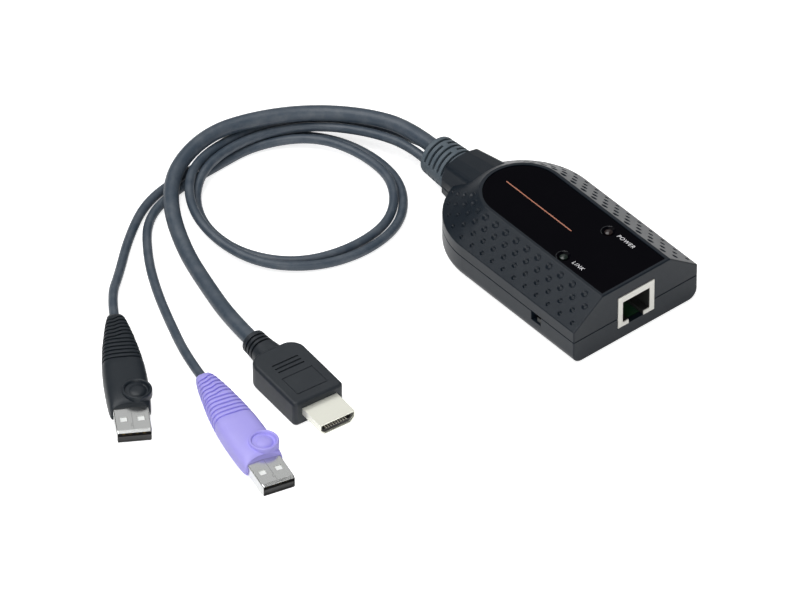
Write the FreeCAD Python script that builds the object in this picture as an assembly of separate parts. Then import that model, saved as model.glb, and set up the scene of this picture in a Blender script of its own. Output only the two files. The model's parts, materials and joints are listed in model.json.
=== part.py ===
"""Network KVM adapter: a two-shell housing with a network jack, and three captive cables with plugs.

Millimetres. X is the width, Y the length with the jack at -Y and the cables at +Y, Z is up.
The origin is under the middle of the housing and its strain relief, on the surface it stands on.
"""
import FreeCAD
import Part
import math
import os

from FreeCAD import Vector as V

# ---------------------------------------------------------------- driving dimensions
BODY_WIDTH = 55.2
BODY_STRAIGHT = 58.5        # parallel sides, from the jack face to the centre of the rear arch
HOUSING_LENGTH = 90.8       # jack face to the end of the neck
SEAM_HEIGHT = 9.6           # where the two covers meet
SHOULDER_HEIGHT = 14.1      # top of the upright sides, where the slopes start
TOP_HEIGHT = 23.5
TOP_HALF_WIDTH = 15.2       # flat top, half its width
WALL = 2.0
BOTTOM_ROUND = 3.8          # rounding of the long lower edges
EDGE_ROUND = 0.5            # rounding of the top's rim, the shoulders and the front's outline
SEAM_BREAK = 0.25           # broken edge of each cover along the seam
FIT = 0.15                  # clearance between parts that drop into each other
TRAP = 0.3                  # clearance between the switch and the wall it looks through

LABEL_HALF_WIDTH = 14.1
LABEL_FRONT_MARGIN = 1.3
LABEL_THICK = 0.6
LABEL_RECESS = 0.9

LED_FROM_FRONT = 24.5
POWER_LED_X = 8.8
LINK_LED_X = -11.2
LENS_RADIUS = 1.4
LENS_DISH_RADIUS = 2.5
LENS_FLANGE = 0.8
LENS_DOME = 0.5

DIMPLE_ROW_PITCH = 2.75
DIMPLE_FIRST_ROW = 17.35    # row nearest the label, from the middle line
DIMPLE_ROWS = 4
DIMPLE_FIRST_STATION = 3.3
DIMPLE_STEP = 3.2           # from one staggered station to the next, at the jack end
DIMPLE_STEP_RATIO = 0.988   # each step is a little shorter than the one before
DIMPLE_STATIONS = 20
DIMPLE_ARCH_STEP = 6.9      # degrees from station to station round the arch
DIMPLE_ARCH_STATIONS = 9
DIMPLE_ARCH_LEAD = 0.8      # first step round the arch, as a share of the others
DIMPLE_TOP_RADIUS = 1.35
DIMPLE_LOW_RADIUS = 0.85
DIMPLE_DEPTH = 0.6
DIMPLE_FLOOR_SHARE = 0.5    # width of the dent's floor against its rim

JACK_WIDTH = 16.0
JACK_HEIGHT = 13.2
JACK_DEPTH = 16.5
JACK_SHEET = 0.35
JACK_PROUD = 0.2
SOCKET_WIDTH = 12.0
SOCKET_HEIGHT = 8.9
SOCKET_DEPTH = 12.5
LATCH_WIDTH = 6.6
LATCH_HEIGHT = 1.7
JACK_CONTACTS = 8
JACK_CONTACT_PITCH = 1.02
JACK_CONTACT_RADIUS = 0.23
JACK_CONTACT_DROP = 2.2     # how far a contact slants down towards the socket's back

BOARD_THICK = 1.6
BOARD_BOTTOM = 3.8
BOARD_REACH = 70.0          # from the jack face
BOARD_FRONT_GAP = 0.6
BOARD_SIDE_GAP = 0.5
CAN_INSET = 10.6            # from the housing's left side
CANS_FROM_FRONT = (40.0, 48.0)
CAN_RADIUS = 3.15
CAN_HEIGHT = 7.7
LAMP_HEIGHT = 1.1
LAMP_LENGTH = 3.2
LAMP_WIDTH = 1.6
HEADERS = ((-9.0, 7.0), (0.0, 9.0), (9.0, 7.0))   # x and width of the three wire headers
HEADER_FROM_FRONT = 64.0
HEADER_LENGTH = 4.6
HEADER_HEIGHT = 5.0
HEADER_WALL = 0.6
CHIP_EDGE = 0.15
CHIPS = {                   # x, from the jack face, width, length, height
    "network_transformer": (0.0, 23.0, 12.7, 7.0, 5.6),
    "main_chip": (4.0, 36.0, 14.0, 14.0, 1.4),
    "video_chip": (6.0, 52.0, 10.0, 10.0, 1.2),
    "memory_chip": (-8.0, 36.5, 6.0, 11.0, 1.1),
    "flash_chip": (-7.5, 50.0, 5.0, 5.2, 1.5),
    "crystal": (15.5, 40.0, 3.2, 5.0, 1.2),
}

SCREW_RADIUS = 1.3
SCREW_HEAD_RADIUS = 2.3
SCREW_HEAD_HEIGHT = 1.5
SCREW_LENGTH = 10.5
SCREW_SUNK = 0.5
SCREW_HEAD_ROUND = 0.5
SCREW_CROSS_LENGTH = 2.4
SCREW_CROSS_WIDTH = 0.5
SCREW_CROSS_DEPTH = 0.9
BOSS_RADIUS = 2.8
SCREW_PLACES = ((6.1, 7.5), (12.1, 65.0))   # in from each side, from the jack face

SWITCH_FROM_FRONT = 19.5
SWITCH_SLOT_LENGTH = 5.0
SWITCH_SLOT_HEIGHT = 3.7
SWITCH_BODY_LENGTH = 8.6
SWITCH_BODY_WIDTH = 3.6
SWITCH_BODY_HEIGHT = 3.6
SWITCH_KNOB_LENGTH = 1.9
SWITCH_KNOB_HEIGHT = 1.7
SWITCH_KNOB_PROUD = 1.7
SWITCH_TRAVEL = 2.0
SWITCH_WINDOW_SHEET = 0.5
SWITCH_PLAY = 0.15          # clearance all round the slider
SWITCH_LIP = 0.4            # how far the slider's carriage reaches past its knob

NECK_ROOT = 70.0            # from the jack face, inside the arch
NECK_ROOT_HALF_WIDTH = 11.0
NECK_ROOT_DROP = 1.2        # the neck starts this far below the flat top
NECK_HALF_WIDTH = 9.1
NECK_TOP = 19.0
NECK_BOTTOM = 0.9
NECK_WALL = 1.6
NECK_ROUND = 2.4            # rounding of its long outer edges
NECK_END_WALL = 2.4
NECK_CREASE = 0.26          # where the creases run, as a share of the half width
NECK_SHOULDER = 0.78
NECK_CROWN = 0.12           # fall of the top from crease to shoulder, as a share of the half width
NECK_FLANK = 0.35           # height of the upright flank, as a share above and below the middle
NECK_KEEL = 0.6             # half width of its underside, as a share

BOOT_LENGTH = 13.8
BOOT_AXIS_HEIGHT = 10.1
BOOT_RADIUS = 8.1
BOOT_END_RADIUS = 7.3
BOOT_CORE_RADIUS = 6.2
BOOT_FLANGE = 2.0
BOOT_FLANGE_RADIUS = 7.2
SLOT_COUNT = 5
SLOT_PITCH = 2.34
SLOT_FIRST = 1.9            # from the neck to the first slot's middle
SLOT_WIDTH = 1.0
SLOT_DEPTH = 1.7
SLOT_END_ANGLE = 14.0       # slots stop this far above and below the middle
SLOT_BRIDGE = 2.3           # width of the bridge over every second slot

LEAD_DIAMETERS = (2.2, 3.2, 2.2)
LEAD_STRAIGHT = 5.0
LEAD_INSERTED = 0.4
VIDEO_CABLE_DIAMETER = 5.5
THIN_CABLE_DIAMETER = 3.3
VIDEO_EXIT = (0.0, 12.6)    # x, z where the cables leave the strain relief
BLACK_EXIT = (3.4, 8.4)
VIOLET_EXIT = (-3.4, 8.4)

USB_BODY_LENGTH = 48.5
USB_HALF_HEIGHT = 4.6
USB_SHELL_WIDTH = 12.0
USB_SHELL_HEIGHT = 4.5
USB_SHELL_LENGTH = 12.0     # outside the moulding
USB_SHELL_BURIED = 5.0
USB_SHEET = 0.3
USB_FOLD = 0.5              # outer radius of the shell's folds
USB_NOSE_LENGTH = 1.3       # the shell's lip leans in over this length
USB_NOSE_LEAN = 0.22
USB_WINDOW = 2.4
USB_WINDOWS_APART = 5.9
USB_WINDOW_FROM_MOUTH = 4.1
USB_GROOVES = 12
USB_GROOVE_PITCH = 1.95
USB_GROOVE_FIRST = 24.0     # from the mouth
USB_GROOVE_WIDTH = 0.8
USB_GROOVE_DEPTH = 0.6
USB_RING_RADIUS = 5.15
USB_RING_WALL = 0.85
USB_RING_FROM_MOUTH = 6.2
USB_RING_OFFSET = 2.9
USB_RING_PROUD = 0.9
USB_RING_ROUND = 0.35
USB_RING_SUNK = 0.3
USB_DOME_BALL = 12.0
USB_MOUTH_HOLLOW = 1.4
USB_MOUTH_RADIUS = 14.4
USB_TONGUE_THICK = 1.9
USB_CONTACT_WIDTH = 1.0
USB_CONTACT_THICK = 0.15
USB_CONTACTS = 4
USB_CONTACT_PITCH = 2.3

VIDEO_BODY_LENGTH = 29.0
VIDEO_BODY_WIDTH = 20.0
VIDEO_BODY_HEIGHT = 10.0
VIDEO_SHOULDER_ROUND = 5.5  # upright edges towards the cable
VIDEO_FRONT_ROUND = 1.8     # upright edges at the mouth
VIDEO_EDGE_ROUND = 1.3      # rounding of the top and bottom outlines
VIDEO_COLLAR_LENGTH = 10.5
VIDEO_COLLAR = (            # along from the grip's rear end, half width, half height, corner radius
    (3.0, 6.3, 4.6, 4.0), (-3.0, 5.0, 4.5, 4.2), (-VIDEO_COLLAR_LENGTH, 4.5, 4.4, 4.3))
VIDEO_RINGS = 3
VIDEO_RING_FIRST = 2.0      # from the collar's end to the first groove
VIDEO_RING_PITCH = 1.8
VIDEO_RING_WIDTH = 0.8
VIDEO_RING_FLOOR = 3.7      # radius at the bottom of the grooves
VIDEO_BARS = 3
VIDEO_BAR_FIRST = 20.5      # from the mouth to the rearmost sunk bar
VIDEO_BAR_PITCH = 1.9
VIDEO_BAR_WIDTH = 0.7
VIDEO_BAR_LENGTH = 10.4
VIDEO_BAR_DEPTH = 0.4
VIDEO_FRAME_WIDTH = 12.4
VIDEO_FRAME_LENGTH = 9.6
VIDEO_FRAME_FROM_MOUTH = 4.0
VIDEO_FRAME_LINE = 0.4
VIDEO_FRAME_DEPTH = 0.2
VIDEO_SHELL_WIDTH = 13.9
VIDEO_SHELL_HEIGHT = 4.45
VIDEO_SHELL_CHAMFER = 1.7
VIDEO_SHELL_LENGTH = 10.8
VIDEO_SHELL_BURIED = 5.0
VIDEO_SHEET = 0.35
VIDEO_SLOT_WIDTH = 11.2
VIDEO_SLOT_HEIGHT = 1.9
VIDEO_SLOT_DEPTH = 7.5
VIDEO_SLOT_RAISED = 0.3     # above the plug's middle
VIDEO_CONTACT_THICK = 0.15
VIDEO_CONTACT_WIDTH = 0.45
VIDEO_CONTACT_PITCH = 1.0
VIDEO_UPPER_CONTACTS = 10

# Where each plug's mouth is, in plan, and the way it points, in degrees from +X.
BLACK_PLUG = (-160.2, 20.4, -122.5)
VIOLET_PLUG = (-142.6, -28.3, -104.4)
VIDEO_PLUG = (-109.7, -17.5, -95.5)

# ---------------------------------------------------------------- derived places
BODY_HALF = BODY_WIDTH / 2
OVERALL = JACK_PROUD + HOUSING_LENGTH + BOOT_LENGTH
FRONT = JACK_PROUD - OVERALL / 2
ARCH_Y = FRONT + BODY_STRAIGHT
NECK_END = FRONT + HOUSING_LENGTH
BOOT_END = NECK_END + BOOT_LENGTH
BOARD_TOP = BOARD_BOTTOM + BOARD_THICK
LAMP_TOP = BOARD_TOP + LAMP_HEIGHT
LABEL_TOP = TOP_HEIGHT - LABEL_RECESS + LABEL_THICK
SLOPE = (TOP_HEIGHT - SHOULDER_HEIGHT) / (BODY_HALF - TOP_HALF_WIDTH)
TINY = 0.01
UP = V(0, 0, 1)

os.makedirs("parts", exist_ok=True)


def save(name, shape):
    """Write one piece to its own file."""
    shape.exportStep("parts/" + name + ".step")
    print(name, "solids", len(shape.Solids), "volume", round(shape.Volume, 1), shape.isValid())


def box(x0, x1, y0, y1, z0, z1):
    """Box between two corners."""
    return Part.makeBox(x1 - x0, y1 - y0, z1 - z0, V(x0, y0, z0))


def rod(radius, start, end):
    """Cylinder between two points."""
    start, end = V(*start), V(*end)
    return Part.makeCylinder(radius, (end - start).Length, start, end - start)


def edges_near(shape, test):
    """Edges whose middle and ends pass a test on their points."""
    chosen = []
    for edge in shape.Edges:
        middle = edge.valueAt((edge.FirstParameter + edge.LastParameter) / 2)
        points = [vertex.Point for vertex in edge.Vertexes] + [middle]
        if all(test(point) for point in points):
            chosen.append(edge)
    return chosen


def join(pieces):
    """One solid from touching or overlapping pieces."""
    result = pieces[0].fuse(pieces[1:])
    return result.removeSplitter()


def compound(pieces):
    """A group of separate solids in one node."""
    return Part.makeCompound(pieces)


# ---------------------------------------------------------------- housing outline
def bullet(half_width, height, front=FRONT):
    """Plan outline: straight front and sides, half-round rear, at one height."""
    a, b = V(-half_width, front, height), V(half_width, front, height)
    c, d = V(half_width, ARCH_Y, height), V(-half_width, ARCH_Y, height)
    crown = V(0, ARCH_Y + half_width, height)
    arch = Part.Arc(c, crown, d).toShape()
    return Part.Wire([Part.makeLine(a, b), Part.makeLine(b, c), arch, Part.makeLine(d, a)])


def bullet_block(half_width, bottom, top, front=FRONT):
    """Upright block on the plan outline."""
    return Part.Face(bullet(half_width, bottom, front)).extrude(V(0, 0, top - bottom))


def bullet_taper(low_half, low, high_half, high, front=FRONT):
    """Block whose sides slope in from one outline to another: a ridge with a half cone at its rear."""
    corners = [V(-low_half, front, low), V(low_half, front, low), V(high_half, front, high),
               V(-high_half, front, high)]
    ridge = Part.Face(Part.makePolygon(corners + corners[:1])).extrude(V(0, ARCH_Y - front, 0))
    rear = Part.makeCone(low_half, high_half, high - low, V(0, ARCH_Y, low))
    return ridge.fuse(rear).removeSplitter()


def slope_height(distance):
    """Height of the sloping side at a distance from the middle line or the arch centre."""
    return SHOULDER_HEIGHT + (BODY_HALF - distance) * SLOPE


def neck_section(y, half_width, bottom, top, inset=0.0):
    """Cross-section of the neck: crowned top with two creases, round shoulders, round underside."""
    half = half_width - inset
    low, high = bottom + inset, top - inset
    crease = NECK_CREASE * half_width
    shoulder = NECK_SHOULDER * half_width
    drop = NECK_CROWN * half_width
    side_top = BOOT_AXIS_HEIGHT + NECK_FLANK * (high - BOOT_AXIS_HEIGHT)
    side_low = BOOT_AXIS_HEIGHT - NECK_FLANK * (BOOT_AXIS_HEIGHT - low)
    right = [(NECK_KEEL * half, low), (half, side_low), (half, side_top), (shoulder - inset / 2, high - drop),
             (crease, high)]
    left = [(-x, z) for x, z in reversed(right)]
    points = [V(x, y, z) for x, z in right + left]
    return Part.makePolygon(points + points[:1])


def neck_solid(inset=0.0, end=NECK_END):
    """The neck, from inside the arch to the strain relief, or its hollow when inset."""
    root_top = TOP_HEIGHT - NECK_ROOT_DROP
    root = neck_section(FRONT + NECK_ROOT, NECK_ROOT_HALF_WIDTH, NECK_BOTTOM, root_top, inset)
    tip = neck_section(end, NECK_HALF_WIDTH, NECK_BOTTOM, NECK_TOP, inset)
    return Part.makeLoft([root, tip], True, True)


def outer_body():
    """The closed outer form of the whole housing."""
    lower = bullet_block(BODY_HALF, 0, SHOULDER_HEIGHT)
    rounded = edges_near(lower, lambda p: p.z < TINY and p.y > FRONT - TINY)
    rounded = [e for e in rounded if max(v.Point.y for v in e.Vertexes) > FRONT + TINY]
    lower = lower.makeFillet(BOTTOM_ROUND, rounded)
    slopes = bullet_taper(BODY_HALF, SHOULDER_HEIGHT, TOP_HALF_WIDTH, TOP_HEIGHT)
    neck = neck_solid()
    long_edges = edges_near(neck, lambda p: p.z > BOOT_AXIS_HEIGHT)
    long_edges = [e for e in long_edges if e.BoundBox.YLength > NECK_WALL]
    body = join([lower, slopes, neck.makeFillet(NECK_ROUND, long_edges)])
    outline = edges_near(body, lambda p: p.y < FRONT + TINY)
    rim = edges_near(body, lambda p: p.z > TOP_HEIGHT - TINY and p.y > FRONT - TINY)
    shoulders = edges_near(body, lambda p: abs(p.z - SHOULDER_HEIGHT) < TINY)
    soft = {edge.hashCode(): edge for edge in outline + rim + shoulders if edge.Length > TINY}
    return body.makeFillet(EDGE_ROUND, list(soft.values()))


def inner_space():
    """The hollow inside both covers."""
    tilt = math.atan(SLOPE)
    drop = WALL / math.cos(tilt)
    half = BODY_HALF - WALL
    ceiling = TOP_HEIGHT - LABEL_RECESS - WALL
    high_half = BODY_HALF - (ceiling - SHOULDER_HEIGHT + drop) / SLOPE
    low = slope_height(half) - drop
    front = FRONT + WALL
    base = bullet_block(half, WALL, low, front)
    roof = bullet_taper(half, low, high_half, ceiling, front)
    neck = neck_solid(NECK_WALL, NECK_END - NECK_END_WALL)
    return join([base, roof, neck])


def boss_places():
    """Screw positions in plan."""
    return [(side * (BODY_HALF - inward), FRONT + y) for inward, y in SCREW_PLACES for side in (-1, 1)]


# ---------------------------------------------------------------- covers
def jack_room():
    """Hole in the front wall that the jack fills, kept clear for its whole depth."""
    half = JACK_WIDTH / 2 + FIT
    back = FRONT - JACK_PROUD + JACK_DEPTH + FIT
    return box(-half, half, FRONT - 1, back, BOARD_TOP - FIT, BOARD_TOP + JACK_HEIGHT + FIT)


def boot_hole():
    """Hole in the neck's end wall for the strain relief's core."""
    return rod(BOOT_CORE_RADIUS + FIT, (0, NECK_END - NECK_END_WALL - 1, BOOT_AXIS_HEIGHT),
               (0, NECK_END + 1, BOOT_AXIS_HEIGHT))


def switch_slot():
    """Notch in the left rim of the lower cover, where the switch knob is reached."""
    half = SWITCH_SLOT_LENGTH / 2
    middle = FRONT + SWITCH_FROM_FRONT
    return box(-BODY_HALF - 1, -BODY_HALF + WALL + 1, middle - half, middle + half,
               SEAM_HEIGHT - SWITCH_SLOT_HEIGHT, SEAM_HEIGHT + 1)


def lower_cover(outside, inside):
    """Tray with standoffs for the board and counterbored screw holes."""
    keep = box(-BODY_HALF - 5, BODY_HALF + 5, FRONT - 5, NECK_END + 5, -1, SEAM_HEIGHT)
    tray = outside.common(keep)
    tray = tray.makeChamfer(SEAM_BREAK, edges_near(tray, lambda p: abs(p.z - SEAM_HEIGHT) < TINY))
    tray = tray.cut(inside)
    posts = []
    for x, y in boss_places():
        posts.append(rod(BOSS_RADIUS, (x, y, TINY), (x, y, BOARD_BOTTOM)))
    tray = join([tray] + posts)
    cuts = [jack_room(), boot_hole(), switch_slot()]
    for x, y in boss_places():
        cuts.append(rod(SCREW_HEAD_RADIUS + FIT, (x, y, -1), (x, y, SCREW_SUNK + SCREW_HEAD_HEIGHT)))
        cuts.append(rod(SCREW_RADIUS + FIT, (x, y, -1), (x, y, BOARD_BOTTOM + 1)))
    return tray.cut(cuts)


def dimple(x, y, distance, radius):
    """Round-edged plug that leaves a shallow dent in the slope."""
    outward = V(math.copysign(1, x), 0, 0)
    if y > ARCH_Y:
        outward = V(x, y - ARCH_Y, 0) * (1 / distance)
    normal = (outward * SLOPE + UP) * (1 / math.hypot(1, SLOPE))
    floor = V(x, y, slope_height(distance)) - normal * DIMPLE_DEPTH
    flare = radius * (1 - DIMPLE_FLOOR_SHARE)
    return Part.makeCone(radius - flare, radius + flare, 2 * DIMPLE_DEPTH, floor, normal)


def dimples():
    """Four staggered rows of dents on each slope, carried on round the arch to the neck."""
    dents = []
    for row in range(DIMPLE_ROWS):
        distance = DIMPLE_FIRST_ROW + row * DIMPLE_ROW_PITCH
        share = row / (DIMPLE_ROWS - 1)
        radius = DIMPLE_TOP_RADIUS + (DIMPLE_LOW_RADIUS - DIMPLE_TOP_RADIUS) * share
        station, step = FRONT + DIMPLE_FIRST_STATION, DIMPLE_STEP
        for number in range(DIMPLE_STATIONS):
            if number % 2 != row % 2 and station < ARCH_Y:
                dents += [dimple(side * distance, station, distance, radius) for side in (-1, 1)]
            station += step
            step *= DIMPLE_STEP_RATIO
        for number in range(DIMPLE_ARCH_STATIONS):
            angle = math.radians(DIMPLE_ARCH_STEP * (number + DIMPLE_ARCH_LEAD))
            across, along = distance * math.cos(angle), ARCH_Y + distance * math.sin(angle)
            if number % 2 != row % 2 and across > NECK_ROOT_HALF_WIDTH + radius:
                dents += [dimple(side * across, along, distance, radius) for side in (-1, 1)]
    return dents


def upper_cover(outside, inside):
    """Sloping cover with a label recess, dimpled slopes, light-pipe holes and screw bosses."""
    keep = box(-BODY_HALF - 5, BODY_HALF + 5, FRONT - 5, NECK_END + 5, SEAM_HEIGHT, TOP_HEIGHT + 1)
    cover = outside.common(keep)
    cover = cover.makeChamfer(SEAM_BREAK, edges_near(cover, lambda p: abs(p.z - SEAM_HEIGHT) < TINY))
    cover = cover.cut(inside)
    bosses = []
    for x, y in boss_places():
        bosses.append(rod(BOSS_RADIUS, (x, y, BOARD_TOP), (x, y, slope_height(abs(x)) - WALL / 2)))
    filled = bullet_block(BODY_HALF - WALL / 2, BOARD_TOP - 1, SHOULDER_HEIGHT).fuse(
        bullet_taper(BODY_HALF - WALL / 2, SHOULDER_HEIGHT, TOP_HALF_WIDTH - WALL / 2, TOP_HEIGHT - WALL / 2))
    cover = join([cover] + [boss.common(filled) for boss in bosses])
    cuts = [jack_room(), boot_hole()]
    label_front = FRONT + LABEL_FRONT_MARGIN
    cuts.append(bullet_block(LABEL_HALF_WIDTH, TOP_HEIGHT - LABEL_RECESS, TOP_HEIGHT + 1, label_front))
    for x in (POWER_LED_X, LINK_LED_X):
        y = FRONT + LED_FROM_FRONT
        cuts.append(rod(LENS_RADIUS + FIT, (x, y, SEAM_HEIGHT), (x, y, TOP_HEIGHT)))
    for x, y in boss_places():
        cuts.append(rod(SCREW_RADIUS - FIT, (x, y, BOARD_TOP - 1), (x, y, SCREW_SUNK + SCREW_LENGTH + 1)))
    cover = cover.cut(cuts)
    return cover.cut(dimples())


def top_label():
    """Glossy panel let into the cover, with a dish round each light."""
    low = TOP_HEIGHT - LABEL_RECESS
    panel = bullet_block(LABEL_HALF_WIDTH - FIT, low, LABEL_TOP, FRONT + LABEL_FRONT_MARGIN + FIT)
    holes = []
    for x in (POWER_LED_X, LINK_LED_X):
        y = FRONT + LED_FROM_FRONT
        holes.append(Part.makeCone(LENS_RADIUS + FIT, LENS_DISH_RADIUS, LABEL_THICK, V(x, y, low)))
    return panel.cut(holes)


def lens(x):
    """Clear light pipe: domed tip in the label, flange under the cover, rod down to its lamp."""
    y = FRONT + LED_FROM_FRONT
    ceiling = TOP_HEIGHT - LABEL_RECESS - WALL
    tip = LABEL_TOP - LENS_DOME / 2
    ball = (LENS_RADIUS ** 2 + LENS_DOME ** 2) / (2 * LENS_DOME)
    stem = rod(LENS_RADIUS, (x, y, LAMP_TOP), (x, y, tip + LENS_DOME))
    dome = Part.makeSphere(ball, V(x, y, tip + LENS_DOME - ball))
    flange = rod(LENS_RADIUS + LENS_FLANGE, (x, y, ceiling - LENS_FLANGE), (x, y, ceiling))
    column = rod(LENS_RADIUS + 1, (x, y, LAMP_TOP - 1), (x, y, tip))
    return join([stem.common(join([dome, column])), flange])


# ---------------------------------------------------------------- board and what is on it
def chip(x, from_front, width, length, height):
    """Flat package on the board, its top edges broken."""
    y = FRONT + from_front
    body = box(x - width / 2, x + width / 2, y - length / 2, y + length / 2, BOARD_TOP, BOARD_TOP + height)
    top = BOARD_TOP + height
    return body.makeChamfer(CHIP_EDGE, edges_near(body, lambda p: p.z > top - TINY))


def circuit_board():
    """Board with four screw holes and a rounded rear end."""
    half = BODY_HALF - WALL - BOARD_SIDE_GAP
    blank = bullet_block(half, BOARD_BOTTOM, BOARD_TOP, FRONT + WALL + BOARD_FRONT_GAP)
    blank = blank.common(box(-half, half, FRONT, FRONT + BOARD_REACH, BOARD_BOTTOM - 1, BOARD_TOP + 1))
    holes = [rod(SCREW_RADIUS + FIT, (x, y, 0), (x, y, BOARD_TOP + 1)) for x, y in boss_places()]
    return blank.cut(holes)


def wire_headers():
    """Three board connectors in a row for the cable wires."""
    y = FRONT + HEADER_FROM_FRONT
    blocks = []
    for x, width in HEADERS:
        block = box(x - width / 2, x + width / 2, y - HEADER_LENGTH / 2, y + HEADER_LENGTH / 2,
                    BOARD_TOP, BOARD_TOP + HEADER_HEIGHT)
        inside = width / 2 - HEADER_WALL
        mouth = box(x - inside, x + inside, y, y + HEADER_LENGTH,
                    BOARD_TOP + HEADER_WALL, BOARD_TOP + HEADER_HEIGHT - HEADER_WALL)
        blocks.append(block.cut(mouth))
    return compound(blocks)


def capacitors():
    """Two can capacitors standing on the board."""
    cans = []
    x = CAN_INSET - BODY_HALF
    for from_front in CANS_FROM_FRONT:
        y = FRONT + from_front
        cans.append(rod(CAN_RADIUS, (x, y, BOARD_TOP), (x, y, BOARD_TOP + CAN_HEIGHT)))
    return compound(cans)


def lamps():
    """One lamp under each light pipe."""
    y = FRONT + LED_FROM_FRONT
    half, deep = LAMP_LENGTH / 2, LAMP_WIDTH / 2
    return compound([box(x - half, x + half, y - deep, y + deep, BOARD_TOP, LAMP_TOP)
                     for x in (POWER_LED_X, LINK_LED_X)])


def screws():
    """Four pan-head screws from below."""
    group = []
    for x, y in boss_places():
        head_top = SCREW_SUNK + SCREW_HEAD_HEIGHT
        head = rod(SCREW_HEAD_RADIUS, (x, y, SCREW_SUNK), (x, y, head_top))
        head = head.makeFillet(SCREW_HEAD_ROUND, edges_near(head, lambda p: p.z < SCREW_SUNK + TINY))
        shank = rod(SCREW_RADIUS - FIT, (x, y, head_top), (x, y, SCREW_SUNK + SCREW_LENGTH))
        long, slim, deep = SCREW_CROSS_LENGTH / 2, SCREW_CROSS_WIDTH / 2, SCREW_SUNK + SCREW_CROSS_DEPTH
        cross = join([box(x - long, x + long, y - slim, y + slim, 0, deep),
                      box(x - slim, x + slim, y - long, y + long, 0, deep)])
        group.append(join([head, shank]).cut(cross))
    return compound(group)


# ---------------------------------------------------------------- network jack
JACK_LOW = BOARD_TOP
JACK_HIGH = JACK_LOW + JACK_HEIGHT
SOCKET_LOW = JACK_LOW + LATCH_HEIGHT
SOCKET_HIGH = SOCKET_LOW + SOCKET_HEIGHT


def socket_space(grow=0.0):
    """The hollow that a network plug goes into, with its latch channel below."""
    half = SOCKET_WIDTH / 2 + grow
    back = FRONT - JACK_PROUD + SOCKET_DEPTH
    front = FRONT - JACK_PROUD - 1
    cavity = box(-half, half, front, back, SOCKET_LOW - grow, SOCKET_HIGH + grow)
    channel = box(-LATCH_WIDTH / 2 - grow, LATCH_WIDTH / 2 + grow, front, back, JACK_LOW - 1, SOCKET_LOW)
    return cavity.fuse(channel)


def jack_shield():
    """Folded metal can round the jack, with a face frame."""
    half = JACK_WIDTH / 2
    front, back = FRONT - JACK_PROUD, FRONT - JACK_PROUD + JACK_DEPTH
    can = box(-half, half, front, back, JACK_LOW, JACK_HIGH)
    inner = box(-half + JACK_SHEET, half - JACK_SHEET, front + JACK_SHEET, back - JACK_SHEET,
                JACK_LOW - 1, JACK_HIGH - JACK_SHEET)
    opening = socket_space(TINY)
    return can.cut([inner, opening])


def jack_insert():
    """Moulded block in the can that forms the socket and carries the contacts."""
    half = JACK_WIDTH / 2 - JACK_SHEET - TINY
    front, back = FRONT - JACK_PROUD + JACK_SHEET + TINY, FRONT - JACK_PROUD + JACK_DEPTH - JACK_SHEET - TINY
    block = box(-half, half, front, back, JACK_LOW, JACK_HIGH - JACK_SHEET - TINY)
    return block.cut(socket_space())


def jack_contacts():
    """Eight sprung wires that slant down from the socket's roof."""
    wires = []
    first = -(JACK_CONTACTS - 1) / 2 * JACK_CONTACT_PITCH
    front = FRONT - JACK_PROUD
    for number in range(JACK_CONTACTS):
        x = first + number * JACK_CONTACT_PITCH
        high = SOCKET_HIGH - JACK_CONTACT_RADIUS - 0.05
        tip, root = (x, front + 2.5, high), (x, front + SOCKET_DEPTH - 0.6, high - JACK_CONTACT_DROP)
        wires.append(rod(JACK_CONTACT_RADIUS, tip, root))
    return compound(wires)


# ---------------------------------------------------------------- mode switch
SWITCH_MIDDLE = FRONT + SWITCH_FROM_FRONT
SWITCH_X = -BODY_HALF + WALL + TRAP
SWITCH_Z = BOARD_TOP + SWITCH_BODY_HEIGHT / 2


def switch_frame():
    """Slide switch body on the board's left edge, with a window for its knob."""
    half = SWITCH_BODY_LENGTH / 2
    frame = box(SWITCH_X, SWITCH_X + SWITCH_BODY_WIDTH, SWITCH_MIDDLE - half, SWITCH_MIDDLE + half,
                BOARD_TOP, BOARD_TOP + SWITCH_BODY_HEIGHT)
    reach = (SWITCH_TRAVEL + SWITCH_KNOB_LENGTH) / 2 + SWITCH_PLAY
    tall = SWITCH_KNOB_HEIGHT / 2 + SWITCH_PLAY
    hollow = box(SWITCH_X + SWITCH_WINDOW_SHEET, SWITCH_X + SWITCH_BODY_WIDTH - SWITCH_WINDOW_SHEET,
                 SWITCH_MIDDLE - reach - SWITCH_LIP, SWITCH_MIDDLE + reach + SWITCH_LIP,
                 SWITCH_Z - tall - SWITCH_LIP, SWITCH_Z + tall + SWITCH_LIP)
    window = box(SWITCH_X - 1, SWITCH_X + SWITCH_WINDOW_SHEET + TINY,
                 SWITCH_MIDDLE - reach, SWITCH_MIDDLE + reach, SWITCH_Z - tall, SWITCH_Z + tall)
    return frame.cut([hollow, window])


def switch_slider():
    """Knob and carriage in one moulding, at the jack end of its travel."""
    y = SWITCH_MIDDLE - SWITCH_TRAVEL / 2
    half, tall = SWITCH_KNOB_LENGTH / 2, SWITCH_KNOB_HEIGHT / 2
    sheet = SWITCH_WINDOW_SHEET + SWITCH_PLAY
    knob = box(SWITCH_X - SWITCH_KNOB_PROUD, SWITCH_X + sheet + 1, y - half, y + half,
               SWITCH_Z - tall, SWITCH_Z + tall)
    carriage = box(SWITCH_X + sheet, SWITCH_X + SWITCH_BODY_WIDTH - sheet,
                   y - half - SWITCH_LIP, y + half + SWITCH_LIP,
                   SWITCH_Z - tall - SWITCH_LIP, SWITCH_Z + tall + SWITCH_LIP)
    return join([knob, carriage])


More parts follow.
